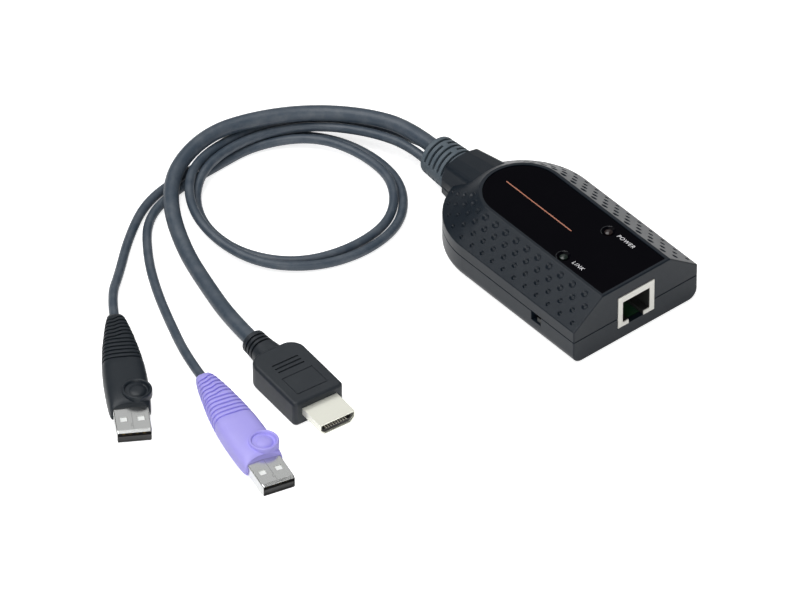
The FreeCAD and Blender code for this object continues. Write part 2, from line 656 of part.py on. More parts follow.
# ---------------------------------------------------------------- strain relief
def ring_slot(y, start, sweep):
    """Part-ring cut round the strain relief's axis, from a start angle over a sweep, in degrees."""
    outer = BOOT_RADIUS + 1
    radius = BOOT_RADIUS + (BOOT_END_RADIUS - BOOT_RADIUS) * (y - NECK_END) / BOOT_LENGTH
    inner = radius - SLOT_DEPTH
    low, high = y - SLOT_WIDTH / 2, y + SLOT_WIDTH / 2
    corners = [V(inner, low, BOOT_AXIS_HEIGHT), V(outer, low, BOOT_AXIS_HEIGHT),
               V(outer, high, BOOT_AXIS_HEIGHT), V(inner, high, BOOT_AXIS_HEIGHT)]
    face = Part.Face(Part.makePolygon(corners + corners[:1]))
    centre, axis = V(0, 0, BOOT_AXIS_HEIGHT), V(0, -1, 0)
    face.rotate(centre, axis, start)
    return face.revolve(centre, axis, sweep)


def strain_relief():
    """Ribbed rubber boot moulded on the three cables, held by a flange inside the neck."""
    seat = V(0, NECK_END, BOOT_AXIS_HEIGHT)
    outside = Part.makeCone(BOOT_RADIUS, BOOT_END_RADIUS, BOOT_LENGTH, seat, V(0, 1, 0))
    outside = outside.makeFillet(0.8, edges_near(outside, lambda p: p.y > BOOT_END - TINY))
    inner = NECK_END - NECK_END_WALL - FIT
    back, face = (0, inner - BOOT_FLANGE, BOOT_AXIS_HEIGHT), (0, inner, BOOT_AXIS_HEIGHT)
    core = rod(BOOT_CORE_RADIUS, back, (0, NECK_END + 1, BOOT_AXIS_HEIGHT))
    flange = rod(BOOT_FLANGE_RADIUS, back, face)
    boot = join([outside, core, flange])
    bridge = math.degrees(SLOT_BRIDGE / 2 / BOOT_RADIUS)
    slots = []
    for number in range(SLOT_COUNT):
        y = NECK_END + SLOT_FIRST + number * SLOT_PITCH
        full = 180 - 2 * SLOT_END_ANGLE
        for side in (0, 180):
            start = side + SLOT_END_ANGLE
            if number % 2 == 0:
                slots.append(ring_slot(y, start, full))
            else:
                slots.append(ring_slot(y, start, full / 2 - bridge))
                slots.append(ring_slot(y, start + full / 2 + bridge, full / 2 - bridge))
    return boot.cut(slots)


# ---------------------------------------------------------------- cables
VIDEO_ROUTE = [
    (0.0, 52.4, 12.6), (0.1, 66.8, 12.6), (-5.6, 82.6, 11.0), (-18.4, 96.9, 10.4), (-34.8, 106.4, 10.3),
    (-52.0, 111.8, 9.4), (-71.0, 107.2, 7.2), (-84.2, 93.6, 5.6), (-93.0, 74.6, 3.2), (-98.5, 55.6, 2.9),
    (-103.9, 36.8, 4.2), (-105.9, 21.8, 5.0),
]
BLACK_ROUTE = [
    (3.4, 52.4, 8.4), (3.6, 62.5, 7.0), (-1.0, 78.5, 4.6), (-14.0, 95.6, 4.6), (-29.5, 105.8, 5.2),
    (-48.3, 109.1, 5.3), (-67.3, 103.5, 7.0), (-79.3, 88.9, 6.2), (-82.5, 70.7, 4.4), (-77.5, 52.2, 3.2),
    (-62.5, 40.2, 1.8), (-44.0, 35.7, 1.7), (-25.5, 39.7, 1.7), (-12.5, 54.7, 1.7), (-10.5, 73.7, 1.7),
    (-16.5, 91.7, 1.7), (-31.5, 105.0, 1.7), (-49.5, 108.4, 1.7), (-68.5, 107.1, 1.7), (-86.5, 104.1, 1.7),
    (-102.8, 93.1, 1.7), (-116.7, 80.7, 1.9), (-127.2, 71.9, 3.8), (-134.14, 61.3, 4.6),
]
VIOLET_ROUTE = [
    (-3.4, 52.4, 8.4), (-3.4, 62.0, 8.0), (-9.0, 79.0, 6.6), (-19.0, 95.6, 5.6), (-35.5, 104.0, 5.2),
    (-52.5, 104.7, 5.3), (-65.5, 100.3, 5.1), (-74.7, 91.6, 2.6), (-79.5, 77.7, 1.7), (-77.5, 60.7, 1.7),
    (-66.5, 46.2, 1.7), (-48.0, 40.2, 1.7), (-28.0, 42.2, 2.2), (-15.5, 55.7, 4.2), (-14.5, 74.7, 4.2),
    (-21.5, 92.2, 4.2), (-38.0, 103.4, 2.0), (-56.0, 103.4, 1.7), (-75.0, 102.6, 1.7), (-91.5, 97.1, 1.7),
    (-104.0, 81.0, 1.7), (-113.0, 64.5, 1.7), (-120.5, 47.0, 2.0), (-127.3, 31.1, 3.9),
    (-130.54, 18.68, 4.6),
]


BEND_SHARE = 0.45           # how much of the shorter run beside a corner its arc takes up


def tube(route, diameter):
    """Round tube on a route: straight runs joined by arcs as wide as the runs allow."""
    points = [V(*p) for p in route]
    edges, here, radii = [], points[0], []
    for before, corner, after in zip(points, points[1:], points[2:]):
        back, ahead = before - corner, after - corner
        reach = BEND_SHARE * min(back.Length, ahead.Length)
        back.normalize()
        ahead.normalize()
        half_turn = (math.pi - back.getAngle(ahead)) / 2
        radius = reach / math.tan(half_turn)
        radii.append(round(radius, 1))
        start, end = corner + back * reach, corner + ahead * reach
        inward = back + ahead
        inward.normalize()
        middle = corner + inward * (radius / math.cos(half_turn) - radius)
        edges.append(Part.LineSegment(here, start).toShape())
        edges.append(Part.Arc(start, middle, end).toShape())
        here = end
    edges.append(Part.LineSegment(here, points[-1]).toShape())
    path = Part.Wire(edges)
    circle = Part.Circle(points[0], points[1] - points[0], diameter / 2).toShape()
    return path.makePipeShell([Part.Wire([circle])], True, False), path.Length, radii


def cable(name, route, diameter):
    """A cable on its route, with its length and the radii of its bends."""
    solid, length, radii = tube(route, diameter)
    share = solid.Volume / (length * math.pi * diameter ** 2 / 4)
    print(name, "length", round(length, 1), "volume share", round(share, 4), "radii", radii)
    return solid


def leads():
    """Short wire bundles from the strain relief's inner end to the board headers."""
    start_y = NECK_END - NECK_END_WALL - BOOT_FLANGE - FIT
    end_y = FRONT + HEADER_FROM_FRONT + HEADER_LENGTH / 2 - LEAD_INSERTED
    end_z = BOARD_TOP + HEADER_HEIGHT / 2
    bundles = []
    for exit_at, header, diameter in zip((VIOLET_EXIT, VIDEO_EXIT, BLACK_EXIT), HEADERS, LEAD_DIAMETERS):
        route = [(exit_at[0], start_y, exit_at[1]), (exit_at[0], start_y - LEAD_STRAIGHT, exit_at[1]),
                 (header[0], end_y + LEAD_STRAIGHT, end_z), (header[0], end_y, end_z)]
        bundles.append(tube(route, diameter)[0])
    return compound(bundles)


# ---------------------------------------------------------------- plugs
def place(shape, plug, height):
    """Move a piece modelled along +Y from the plug's mouth to where the plug lies."""
    x, y, heading = plug
    moved = shape.copy()
    moved.rotate(V(0, 0, 0), UP, heading - 90)
    moved.translate(V(x, y, height))
    return moved


def round_rect(half_width, half_height, radius, y):
    """Rounded rectangle across the plug's axis."""
    x, z, r = half_width, half_height, radius
    k = r * (1 - math.sqrt(0.5))
    corners = (((x, z - r), (x - k, z - k), (x - r, z)), ((-x + r, z), (-x + k, z - k), (-x, z - r)),
               ((-x, -z + r), (-x + k, -z + k), (-x + r, -z)), ((x - r, -z), (x - k, -z + k), (x, -z + r)))
    edges, last = [], None
    for corner in corners + corners[:1]:
        start = V(corner[0][0], y, corner[0][1])
        if last is not None:
            edges.append(Part.makeLine(last, start))
        if len(edges) == 8:
            break
        arc = Part.Arc(start, V(corner[1][0], y, corner[1][1]), V(corner[2][0], y, corner[2][1]))
        edges.append(arc.toShape())
        last = V(corner[2][0], y, corner[2][1])
    return Part.Wire(edges)


USB_STATIONS = (  # share of the length from the mouth, half width, half height
    (0.0, 6.7, 4.1), (0.05, 7.1, 4.4), (0.14, 7.4, 4.6), (0.34, 7.5, 4.6), (0.45, 7.2, 4.5), (0.55, 6.8, 4.4),
    (0.65, 6.2, 4.2), (0.74, 5.5, 4.0), (0.82, 4.8, 3.7), (0.9, 4.1, 3.4), (0.96, 3.4, 2.9), (1.0, 2.5, 2.2))
USB_CORNER = 0.72           # corner radius of its sections, as a share of the smaller half size


def usb_form(inset=0.0):
    """Smooth form of the plug moulding, or its core when inset."""
    sections = []
    for share, half_width, half_height in USB_STATIONS:
        half_width, half_height = half_width - inset, half_height - inset
        radius = USB_CORNER * min(half_width, half_height)
        sections.append(round_rect(half_width, half_height, radius, -share * USB_BODY_LENGTH))
    return Part.makeLoft(sections, True, True)


def usb_shell_block(grow=0.0, buried=USB_SHELL_BURIED):
    """Outer block of the metal shell."""
    half, tall = USB_SHELL_WIDTH / 2 + grow, USB_SHELL_HEIGHT / 2 + grow
    return box(-half, half, -buried - grow, USB_SHELL_LENGTH, -tall, tall)


def usb_body():
    """Moulded grip: grooved towards the cable, a raised ring with a dome near the mouth."""
    body = usb_form()
    slabs = []
    for number in range(USB_GROOVES):
        y = -USB_GROOVE_FIRST - number * USB_GROOVE_PITCH
        slab = box(-9, 9, y - USB_GROOVE_WIDTH / 2, y + USB_GROOVE_WIDTH / 2, -6, 6)
        if number > USB_GROOVES / 2 and number % 2:
            slab = slab.cut(box(-1.2, 1.2, y - 1, y + 1, -6, 6))
        slabs.append(slab)
    grooves = compound(slabs).cut(usb_form(USB_GROOVE_DEPTH))
    x, y, top = -USB_RING_OFFSET, -USB_RING_FROM_MOUTH, USB_HALF_HEIGHT + USB_RING_PROUD
    floor = USB_HALF_HEIGHT - USB_RING_SUNK
    ring = rod(USB_RING_RADIUS, (x, y, 0), (x, y, top))
    ring = ring.makeFillet(USB_RING_ROUND, edges_near(ring, lambda p: p.z > top - TINY))
    well = rod(USB_RING_RADIUS - USB_RING_WALL, (x, y, floor), (x, y, top + 1))
    dome_rim = rod(USB_RING_RADIUS - 2 * USB_RING_WALL, (x, y, 0), (x, y, top))
    dome = Part.makeSphere(USB_DOME_BALL, V(x, y, top - USB_DOME_BALL)).common(dome_rim)
    middle = USB_MOUTH_RADIUS - USB_MOUTH_HOLLOW
    mouth = rod(USB_MOUTH_RADIUS, (0, middle, -7), (0, middle, 7))
    body = body.cut(grooves)
    body = join([body, ring]).cut(well)
    body = join([body, dome])
    return body.cut([mouth, usb_shell_block(TINY)])


def usb_shell():
    """Folded steel shell with a leaning lip and two square windows above and below."""
    half, tall = USB_SHELL_WIDTH / 2, USB_SHELL_HEIGHT / 2
    sections = [round_rect(half - lean, tall - lean, USB_FOLD, y)
                for lean, y in ((0, -USB_SHELL_BURIED), (0, USB_SHELL_LENGTH - USB_NOSE_LENGTH),
                                (USB_NOSE_LEAN, USB_SHELL_LENGTH))]
    block = Part.makeLoft(sections, True, True)
    bore = box(USB_SHEET - half, half - USB_SHEET, -USB_SHELL_BURIED - 1, USB_SHELL_LENGTH + 1,
               USB_SHEET - tall, tall - USB_SHEET)
    near, far = (USB_WINDOWS_APART - USB_WINDOW) / 2, (USB_WINDOWS_APART + USB_WINDOW) / 2
    windows = [box(side[0], side[1], USB_WINDOW_FROM_MOUTH, USB_WINDOW_FROM_MOUTH + USB_WINDOW, -5, 5)
               for side in ((-far, -near), (near, far))]
    return block.cut([bore] + windows)


def usb_tongue():
    """Insulator along the lower half of the shell."""
    half = USB_SHELL_WIDTH / 2 - USB_SHEET - TINY
    low = -USB_SHELL_HEIGHT / 2 + USB_SHEET + TINY
    tongue = box(-half, half, 0, USB_SHELL_LENGTH - 0.6, low, low + USB_TONGUE_THICK)
    base = box(-half, half, -USB_SHELL_BURIED, 0.6, low, -low)
    return join([tongue, base])


def usb_contacts():
    """Four flat contacts on top of the insulator."""
    top = -USB_SHELL_HEIGHT / 2 + USB_SHEET + TINY + USB_TONGUE_THICK
    first = -(USB_CONTACTS - 1) / 2 * USB_CONTACT_PITCH
    strips = []
    for number in range(USB_CONTACTS):
        x = first + number * USB_CONTACT_PITCH
        strips.append(box(x - USB_CONTACT_WIDTH / 2, x + USB_CONTACT_WIDTH / 2, 0.7, USB_SHELL_LENGTH - 1.6,
                          top, top + USB_CONTACT_THICK))
    return compound(strips)


def video_shell_section(grow, y):
    """D-shaped outline: full width on top, lower corners cut away."""
    half, tall, cut = VIDEO_SHELL_WIDTH / 2 + grow, VIDEO_SHELL_HEIGHT / 2 + grow, VIDEO_SHELL_CHAMFER
    outline = [(-half, tall), (half, tall), (half, -tall + cut), (half - cut, -tall), (-half + cut, -tall),
               (-half, -tall + cut)]
    points = [V(x, y, z) for x, z in outline]
    return Part.makePolygon(points + points[:1])


def video_shell_block(grow=0.0, start=-VIDEO_SHELL_BURIED, end=VIDEO_SHELL_LENGTH):
    """Solid on the D-shaped outline."""
    return Part.Face(video_shell_section(grow, start)).extrude(V(0, end - start, 0))


def video_shell():
    """Drawn metal shell of the video plug."""
    bore = video_shell_block(-VIDEO_SHEET, -VIDEO_SHELL_BURIED - 1, VIDEO_SHELL_LENGTH + 1)
    return video_shell_block().cut(bore)


def video_insert():
    """Insulator in the shell with a slot for the mating tongue."""
    block = video_shell_block(-VIDEO_SHEET - TINY, -VIDEO_SHELL_BURIED, VIDEO_SHELL_LENGTH - 0.8)
    half, tall = VIDEO_SLOT_WIDTH / 2, VIDEO_SLOT_HEIGHT / 2
    slot = box(-half, half, VIDEO_SHELL_LENGTH - VIDEO_SLOT_DEPTH, VIDEO_SHELL_LENGTH + 1,
               VIDEO_SLOT_RAISED - tall, VIDEO_SLOT_RAISED + tall)
    return block.cut(slot)


def video_contacts():
    """Contacts along the slot's roof and, half a pitch over, along its floor."""
    bars = []
    roof = VIDEO_SLOT_RAISED + VIDEO_SLOT_HEIGHT / 2
    floor = VIDEO_SLOT_RAISED - VIDEO_SLOT_HEIGHT / 2
    for count, z in ((VIDEO_UPPER_CONTACTS, roof - VIDEO_CONTACT_THICK), (VIDEO_UPPER_CONTACTS - 1, floor)):
        first = -(count - 1) / 2 * VIDEO_CONTACT_PITCH
        for number in range(count):
            x = first + number * VIDEO_CONTACT_PITCH
            half = VIDEO_CONTACT_WIDTH / 2
            bars.append(box(x - half, x + half, VIDEO_SHELL_LENGTH - VIDEO_SLOT_DEPTH + 0.5,
                            VIDEO_SHELL_LENGTH - 0.8, z, z + VIDEO_CONTACT_THICK))
    return compound(bars)


def video_body():
    """Moulded grip of the video plug: flat box with round rear shoulders and a ringed collar."""
    half, tall = VIDEO_BODY_WIDTH / 2, VIDEO_BODY_HEIGHT / 2
    block = box(-half, half, -VIDEO_BODY_LENGTH, 0, -tall, tall)
    shoulders = edges_near(block, lambda p: p.y < -VIDEO_BODY_LENGTH + TINY and abs(abs(p.x) - half) < TINY)
    block = block.makeFillet(VIDEO_SHOULDER_ROUND, shoulders)
    front = edges_near(block, lambda p: p.y > -TINY and abs(abs(p.x) - half) < TINY)
    block = block.makeFillet(VIDEO_FRONT_ROUND, front)
    block = block.makeFillet(VIDEO_EDGE_ROUND, edges_near(block, lambda p: abs(abs(p.z) - tall) < TINY))
    rear, end = -VIDEO_BODY_LENGTH, -VIDEO_BODY_LENGTH - VIDEO_COLLAR_LENGTH
    hoops = [round_rect(wide, high, corner, rear + y) for y, wide, high, corner in VIDEO_COLLAR]
    collar = Part.makeLoft(hoops, True, False)
    rings = []
    for number in range(VIDEO_RINGS):
        y = end + VIDEO_RING_FIRST + number * VIDEO_RING_PITCH
        band = box(-9, 9, y - VIDEO_RING_WIDTH / 2, y + VIDEO_RING_WIDTH / 2, -9, 9)
        rings.append(band.cut(rod(VIDEO_RING_FLOOR, (0, y - 1, 0), (0, y + 1, 0))))
    cuts = [video_shell_block(TINY)]
    bar, slim = VIDEO_BAR_LENGTH / 2, VIDEO_BAR_WIDTH / 2
    for number in range(VIDEO_BARS):
        y = number * VIDEO_BAR_PITCH - VIDEO_BAR_FIRST
        cuts.append(box(-bar, bar, y - slim, y + slim, tall - VIDEO_BAR_DEPTH, tall + 1))
    wide, line = VIDEO_FRAME_WIDTH / 2, VIDEO_FRAME_LINE
    near, far = -VIDEO_FRAME_FROM_MOUTH, -VIDEO_FRAME_FROM_MOUTH - VIDEO_FRAME_LENGTH
    frame = box(-wide, wide, far, near, tall - VIDEO_FRAME_DEPTH, tall + 1)
    cuts.append(frame.cut(box(line - wide, wide - line, far + line, near - line, 0, 9)))
    return join([block, collar.cut(rings)]).cut(cuts)


def main():
    """Build every piece and write it."""
    outside, inside = outer_body(), inner_space()
    save("lower_cover", lower_cover(outside, inside))
    save("upper_cover", upper_cover(outside, inside))
    save("top_label", top_label())
    save("power_lens", lens(POWER_LED_X))
    save("link_lens", lens(LINK_LED_X))
    save("circuit_board", circuit_board())
    save("network_jack_shield", jack_shield())
    save("network_jack_insert", jack_insert())
    save("network_jack_contacts", jack_contacts())
    for name, size in CHIPS.items():
        save(name, chip(*size))
    save("capacitors", capacitors())
    save("status_lamps", lamps())
    save("wire_headers", wire_headers())
    save("cable_leads", leads())
    save("case_screws", screws())
    save("switch_frame", switch_frame())
    save("switch_slider", switch_slider())
    save("strain_relief", strain_relief())
    save("video_cable", cable("video_cable", VIDEO_ROUTE, VIDEO_CABLE_DIAMETER))
    save("black_cable", cable("black_cable", BLACK_ROUTE, THIN_CABLE_DIAMETER))
    save("violet_cable", cable("violet_cable", VIOLET_ROUTE, THIN_CABLE_DIAMETER))
    for colour, plug in (("black", BLACK_PLUG), ("violet", VIOLET_PLUG)):
        save(colour + "_plug_body", place(usb_body(), plug, USB_HALF_HEIGHT))
        save(colour + "_plug_shell", place(usb_shell(), plug, USB_HALF_HEIGHT))
        save(colour + "_plug_tongue", place(usb_tongue(), plug, USB_HALF_HEIGHT))
        save(colour + "_plug_contacts", place(usb_contacts(), plug, USB_HALF_HEIGHT))
    middle = VIDEO_BODY_HEIGHT / 2
    save("video_plug_body", place(video_body(), VIDEO_PLUG, middle))
    save("video_plug_shell", place(video_shell(), VIDEO_PLUG, middle))
    save("video_plug_insert", place(video_insert(), VIDEO_PLUG, middle))
    save("video_plug_contacts", place(video_contacts(), VIDEO_PLUG, middle))


main()
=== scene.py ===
"""Finishes, cables, plug mouldings and studio for a network KVM adapter with three captive cables."""
import json
import math

import bmesh
import bpy
from mathutils import Matrix, Vector


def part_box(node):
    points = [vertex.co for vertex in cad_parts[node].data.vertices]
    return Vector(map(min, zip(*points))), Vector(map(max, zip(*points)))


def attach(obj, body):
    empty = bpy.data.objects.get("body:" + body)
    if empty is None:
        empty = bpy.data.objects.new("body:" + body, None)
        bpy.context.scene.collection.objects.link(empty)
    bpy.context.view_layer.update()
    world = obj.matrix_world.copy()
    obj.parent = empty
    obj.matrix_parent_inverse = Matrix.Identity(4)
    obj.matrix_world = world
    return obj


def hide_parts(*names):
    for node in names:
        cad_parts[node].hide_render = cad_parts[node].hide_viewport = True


bl_info = {
    "name": "KVM adapter dress",
    "version": (1, 0, 0),
    "blender": (4, 5, 0),
    "location": "3D View > Sidebar > Adapter",
    "description": "Materials, cables, plug mouldings and studio for a KVM adapter",
    "category": "Object",
}

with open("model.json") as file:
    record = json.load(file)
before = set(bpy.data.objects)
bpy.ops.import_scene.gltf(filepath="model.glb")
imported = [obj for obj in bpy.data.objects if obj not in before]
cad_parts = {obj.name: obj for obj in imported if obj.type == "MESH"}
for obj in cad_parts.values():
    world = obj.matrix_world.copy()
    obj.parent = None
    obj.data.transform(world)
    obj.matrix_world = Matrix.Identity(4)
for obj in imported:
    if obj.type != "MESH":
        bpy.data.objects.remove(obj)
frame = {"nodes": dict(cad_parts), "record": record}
NODES = frame["nodes"]
MOUNTS = {mount["name"]: mount for mount in frame["record"]["mounts"]}
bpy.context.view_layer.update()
BODY = "adapter"
MM = 0.001

VIDEO_ROUTE = (
    (0.0, 0.0524, 0.0126), (0.0001, 0.0668, 0.0126), (-0.0056, 0.0826, 0.011), (-0.0184, 0.0969, 0.0104),
    (-0.0348, 0.1064, 0.0103), (-0.052, 0.1118, 0.0094), (-0.071, 0.1072, 0.0072),
    (-0.0842, 0.0936, 0.0056), (-0.093, 0.0746, 0.0032), (-0.0985, 0.0556, 0.0029),
    (-0.1039, 0.0368, 0.0042), (-0.1059, 0.0218, 0.005),
)
BLACK_ROUTE = (
    (0.0034, 0.0524, 0.0084), (0.0036, 0.0625, 0.007), (-0.001, 0.0785, 0.0046), (-0.014, 0.0956, 0.0046),
    (-0.0295, 0.1058, 0.0052), (-0.0483, 0.1091, 0.0053), (-0.0673, 0.1035, 0.007),
    (-0.0793, 0.0889, 0.0062), (-0.0825, 0.0707, 0.0044), (-0.0775, 0.0522, 0.0032),
    (-0.0625, 0.0402, 0.0018), (-0.044, 0.0357, 0.0017), (-0.0255, 0.0397, 0.0017),
    (-0.0125, 0.0547, 0.0017), (-0.0105, 0.0737, 0.0017), (-0.0165, 0.0917, 0.0017),
    (-0.0315, 0.105, 0.0017), (-0.0495, 0.1084, 0.0017), (-0.0685, 0.1071, 0.0017),
    (-0.0865, 0.1041, 0.0017), (-0.1028, 0.0931, 0.0017), (-0.1167, 0.0807, 0.0019),
    (-0.1272, 0.0719, 0.0038), (-0.13414, 0.0613, 0.0046),
)
VIOLET_ROUTE = (
    (-0.0034, 0.0524, 0.0084), (-0.0034, 0.062, 0.0096), (-0.0082, 0.079, 0.0077), (-0.019, 0.0956, 0.0056),
    (-0.0355, 0.104, 0.0052), (-0.0525, 0.1047, 0.0053), (-0.0655, 0.1003, 0.0051),
    (-0.0747, 0.0916, 0.0026), (-0.0795, 0.0777, 0.0017), (-0.0775, 0.0607, 0.0017),
    (-0.0665, 0.0462, 0.0017), (-0.048, 0.0402, 0.0017), (-0.028, 0.0422, 0.0022),
    (-0.0155, 0.0557, 0.0042), (-0.0145, 0.0747, 0.0042), (-0.0215, 0.0922, 0.0042),
    (-0.038, 0.1034, 0.002), (-0.056, 0.1034, 0.0017), (-0.075, 0.1026, 0.0017), (-0.0915, 0.0971, 0.0017),
    (-0.104, 0.081, 0.0017), (-0.113, 0.0645, 0.0017), (-0.1205, 0.047, 0.002), (-0.1273, 0.0311, 0.0039),
    (-0.13054, 0.01868, 0.0046),
)


# ------------------------------------------------------------------ settings
class CableSettings(bpy.types.PropertyGroup):
    """Sizes and colour of the cables."""
    thick: bpy.props.FloatProperty(name="Video cable", description="Diameter of the video cable",
                                   default=0.0055, unit="LENGTH")
    thin: bpy.props.FloatProperty(name="Serial cables", description="Diameter of the two thin cables",
                                  default=0.0033, unit="LENGTH")
    jacket: bpy.props.FloatVectorProperty(name="Jacket", description="Colour of the cable jackets",
                                          subtype="COLOR", default=(0.041, 0.060, 0.084))


class PlugSettings(bpy.types.PropertyGroup):
    """Sizes and colours of the plug mouldings."""
    groove_depth: bpy.props.FloatProperty(name="Groove depth", description="Depth of the grip grooves",
                                          default=0.0007, unit="LENGTH")
    ring_radius: bpy.props.FloatProperty(name="Ring radius", description="Outer radius of the raised ring",
                                         default=0.00515, unit="LENGTH")
    violet: bpy.props.FloatVectorProperty(name="Violet", description="Colour of the violet plug",
                                          subtype="COLOR", default=(0.405, 0.365, 0.87))
    black: bpy.props.FloatVectorProperty(name="Black", description="Colour of the black plugs",
                                         subtype="COLOR", default=(0.0095, 0.0145, 0.0205))


class CaseSettings(bpy.types.PropertyGroup):
    """Colours of the housing and its label."""
    shell: bpy.props.FloatVectorProperty(name="Covers", description="Colour of the two covers",
                                         subtype="COLOR", default=(0.0050, 0.0100, 0.0165))
    label: bpy.props.FloatVectorProperty(name="Label", description="Colour of the glossy label panel",
                                         subtype="COLOR", default=(0.0014, 0.0013, 0.0026))
    stripe: bpy.props.FloatVectorProperty(name="Stripe", description="Colour of the stripe on the label",
                                          subtype="COLOR", default=(0.46, 0.17, 0.10))
    boot: bpy.props.FloatVectorProperty(name="Strain relief", description="Colour of the strain relief",
                                        subtype="COLOR", default=(0.078, 0.104, 0.126))


class StudioSettings(bpy.types.PropertyGroup):
    """Camera and light."""
    lens: bpy.props.FloatProperty(name="Lens", description="Focal length", default=491.7, unit="CAMERA")
    distance: bpy.props.FloatProperty(name="Distance", description="Camera to the aim point", default=3.7,
                                      unit="LENGTH")
    key_power: bpy.props.FloatProperty(name="Key", description="Power of the overhead softbox", default=10.8)
    fill_power: bpy.props.FloatProperty(name="Fill", description="Power of the front softbox", default=5.4)
    rear_power: bpy.props.FloatProperty(name="Rear", description="Power of the rear softbox", default=1.0)


# ------------------------------------------------------------------ shared node groups
def new_group(name, inputs, outputs):
    """An empty shader node group with named float or colour sockets."""
    group = bpy.data.node_groups.new(name, "ShaderNodeTree")
    for label, kind, value in inputs:
        socket = group.interface.new_socket(label, in_out="INPUT", socket_type=kind)
        socket.default_value = value
    for label, kind in outputs:
        group.interface.new_socket(label, in_out="OUTPUT", socket_type=kind)
    return group, group.nodes.new("NodeGroupInput"), group.nodes.new("NodeGroupOutput")


def add_node(tree, kind, **values):
    """A node with its properties and unlinked input values set."""
    node = tree.nodes.new(kind)
    for key, value in values.items():
        if key in node.inputs:
            node.inputs[key].default_value = value
        else:
            setattr(node, key, value)
    return node


def grain_group():
    """Spark-eroded mould texture: a height and a roughness that change over the surface."""
    group, source, sink = new_group(
        "Moulded grain",
        [("Scale", "NodeSocketFloat", 2200.0), ("Low", "NodeSocketFloat", 0.4),
         ("High", "NodeSocketFloat", 0.6)],
        [("Height", "NodeSocketFloat"), ("Roughness", "NodeSocketFloat")])
    place = add_node(group, "ShaderNodeTexCoord")
    fine = add_node(group, "ShaderNodeTexNoise", Detail=3.0, Roughness=0.6)
    broad = add_node(group, "ShaderNodeTexNoise", Scale=60.0, Detail=2.0)
    spread = add_node(group, "ShaderNodeMapRange")
    group.links.new(place.outputs["Object"], fine.inputs["Vector"])
    group.links.new(place.outputs["Object"], broad.inputs["Vector"])
    group.links.new(source.outputs["Scale"], fine.inputs["Scale"])
    group.links.new(broad.outputs["Fac"], spread.inputs["Value"])
    group.links.new(source.outputs["Low"], spread.inputs["To Min"])
    group.links.new(source.outputs["High"], spread.inputs["To Max"])
    group.links.new(fine.outputs["Fac"], sink.inputs["Height"])
    group.links.new(spread.outputs["Result"], sink.inputs["Roughness"])
    return group


def wear_group():
    """Handling: a surface colour that drifts gently towards a paler, dustier one."""
    group, source, sink = new_group(
        "Handling wear",
        [("Color", "NodeSocketColor", (0.5, 0.5, 0.5, 1)), ("Worn", "NodeSocketColor", (0.6, 0.6, 0.6, 1)),
         ("Scale", "NodeSocketFloat", 90.0), ("Amount", "NodeSocketFloat", 0.4)],
        [("Color", "NodeSocketColor")])
    place = add_node(group, "ShaderNodeTexCoord")
    cloud = add_node(group, "ShaderNodeTexNoise", Detail=5.0, Roughness=0.65)
    limit = add_node(group, "ShaderNodeMapRange", **{"From Min": 0.42, "From Max": 0.75})
    scale = add_node(group, "ShaderNodeMath", operation="MULTIPLY")
    mix = add_node(group, "ShaderNodeMix", data_type="RGBA")
    group.links.new(place.outputs["Object"], cloud.inputs["Vector"])
    group.links.new(source.outputs["Scale"], cloud.inputs["Scale"])
    group.links.new(cloud.outputs["Fac"], limit.inputs["Value"])
    group.links.new(limit.outputs["Result"], scale.inputs[0])
    group.links.new(source.outputs["Amount"], scale.inputs[1])
    group.links.new(scale.outputs["Value"], mix.inputs["Factor"])
    group.links.new(source.outputs["Color"], mix.inputs["A"])
    group.links.new(source.outputs["Worn"], mix.inputs["B"])
    group.links.new(mix.outputs["Result"], sink.inputs["Color"])
    return group


GROUPS = {}


def shared(build):
    """A shared node group, built the first time it is needed."""
    if build not in GROUPS:
        GROUPS[build] = build()
    return GROUPS[build]


# ------------------------------------------------------------------ materials
COAT_ROUGHNESS = 0.08
GRAIN_HEIGHT = 0.0002
ROLLING_SCALE = (400.0, 4000.0, 400.0)  # fine along Y, so that the marks run across it
ROLLING_HEIGHT = 0.0001


def lighter(color, share):
    """A colour moved part of the way to white."""
    return [channel + (1 - channel) * share for channel in color[:3]]


def surface(name, color, low, high, grain=2200.0, bump=0.02, worn=0.05, amount=0.5, metallic=0.0,
            specular=0.5, coat=0.0, drift=90.0):
    """Principled surface. Grain gives its bump and its roughness from low to high; wear lightens it."""
    material = bpy.data.materials.new(name)
    material.use_nodes = True
    tree = material.node_tree
    shader = tree.nodes["Principled BSDF"]
    shader.inputs["Metallic"].default_value = metallic
    shader.inputs["Specular IOR Level"].default_value = specular
    shader.inputs["Coat Weight"].default_value = coat
    shader.inputs["Coat Roughness"].default_value = COAT_ROUGHNESS
    grained = add_node(tree, "ShaderNodeGroup", node_tree=shared(grain_group))
    grained.inputs["Scale"].default_value = grain
    grained.inputs["Low"].default_value = low
    grained.inputs["High"].default_value = high
    wear = add_node(tree, "ShaderNodeGroup", node_tree=shared(wear_group))
    wear.inputs["Color"].default_value = (*color[:3], 1)
    wear.inputs["Worn"].default_value = (*lighter(color, worn), 1)
    wear.inputs["Amount"].default_value = amount
    wear.inputs["Scale"].default_value = drift
    raised = add_node(tree, "ShaderNodeBump", Strength=bump)
    raised.inputs["Distance"].default_value = GRAIN_HEIGHT
    tree.links.new(grained.outputs["Height"], raised.inputs["Height"])
    tree.links.new(grained.outputs["Roughness"], shader.inputs["Roughness"])
    tree.links.new(wear.outputs["Color"], shader.inputs["Base Color"])
    tree.links.new(raised.outputs["Normal"], shader.inputs["Normal"])
    return material


def covers_finish(case):
    """Charcoal plastic of the covers."""
    return surface("Charcoal covers", case.shell, 0.30, 0.40, grain=2600, bump=0.08, worn=0.008,
                   specular=0.30)


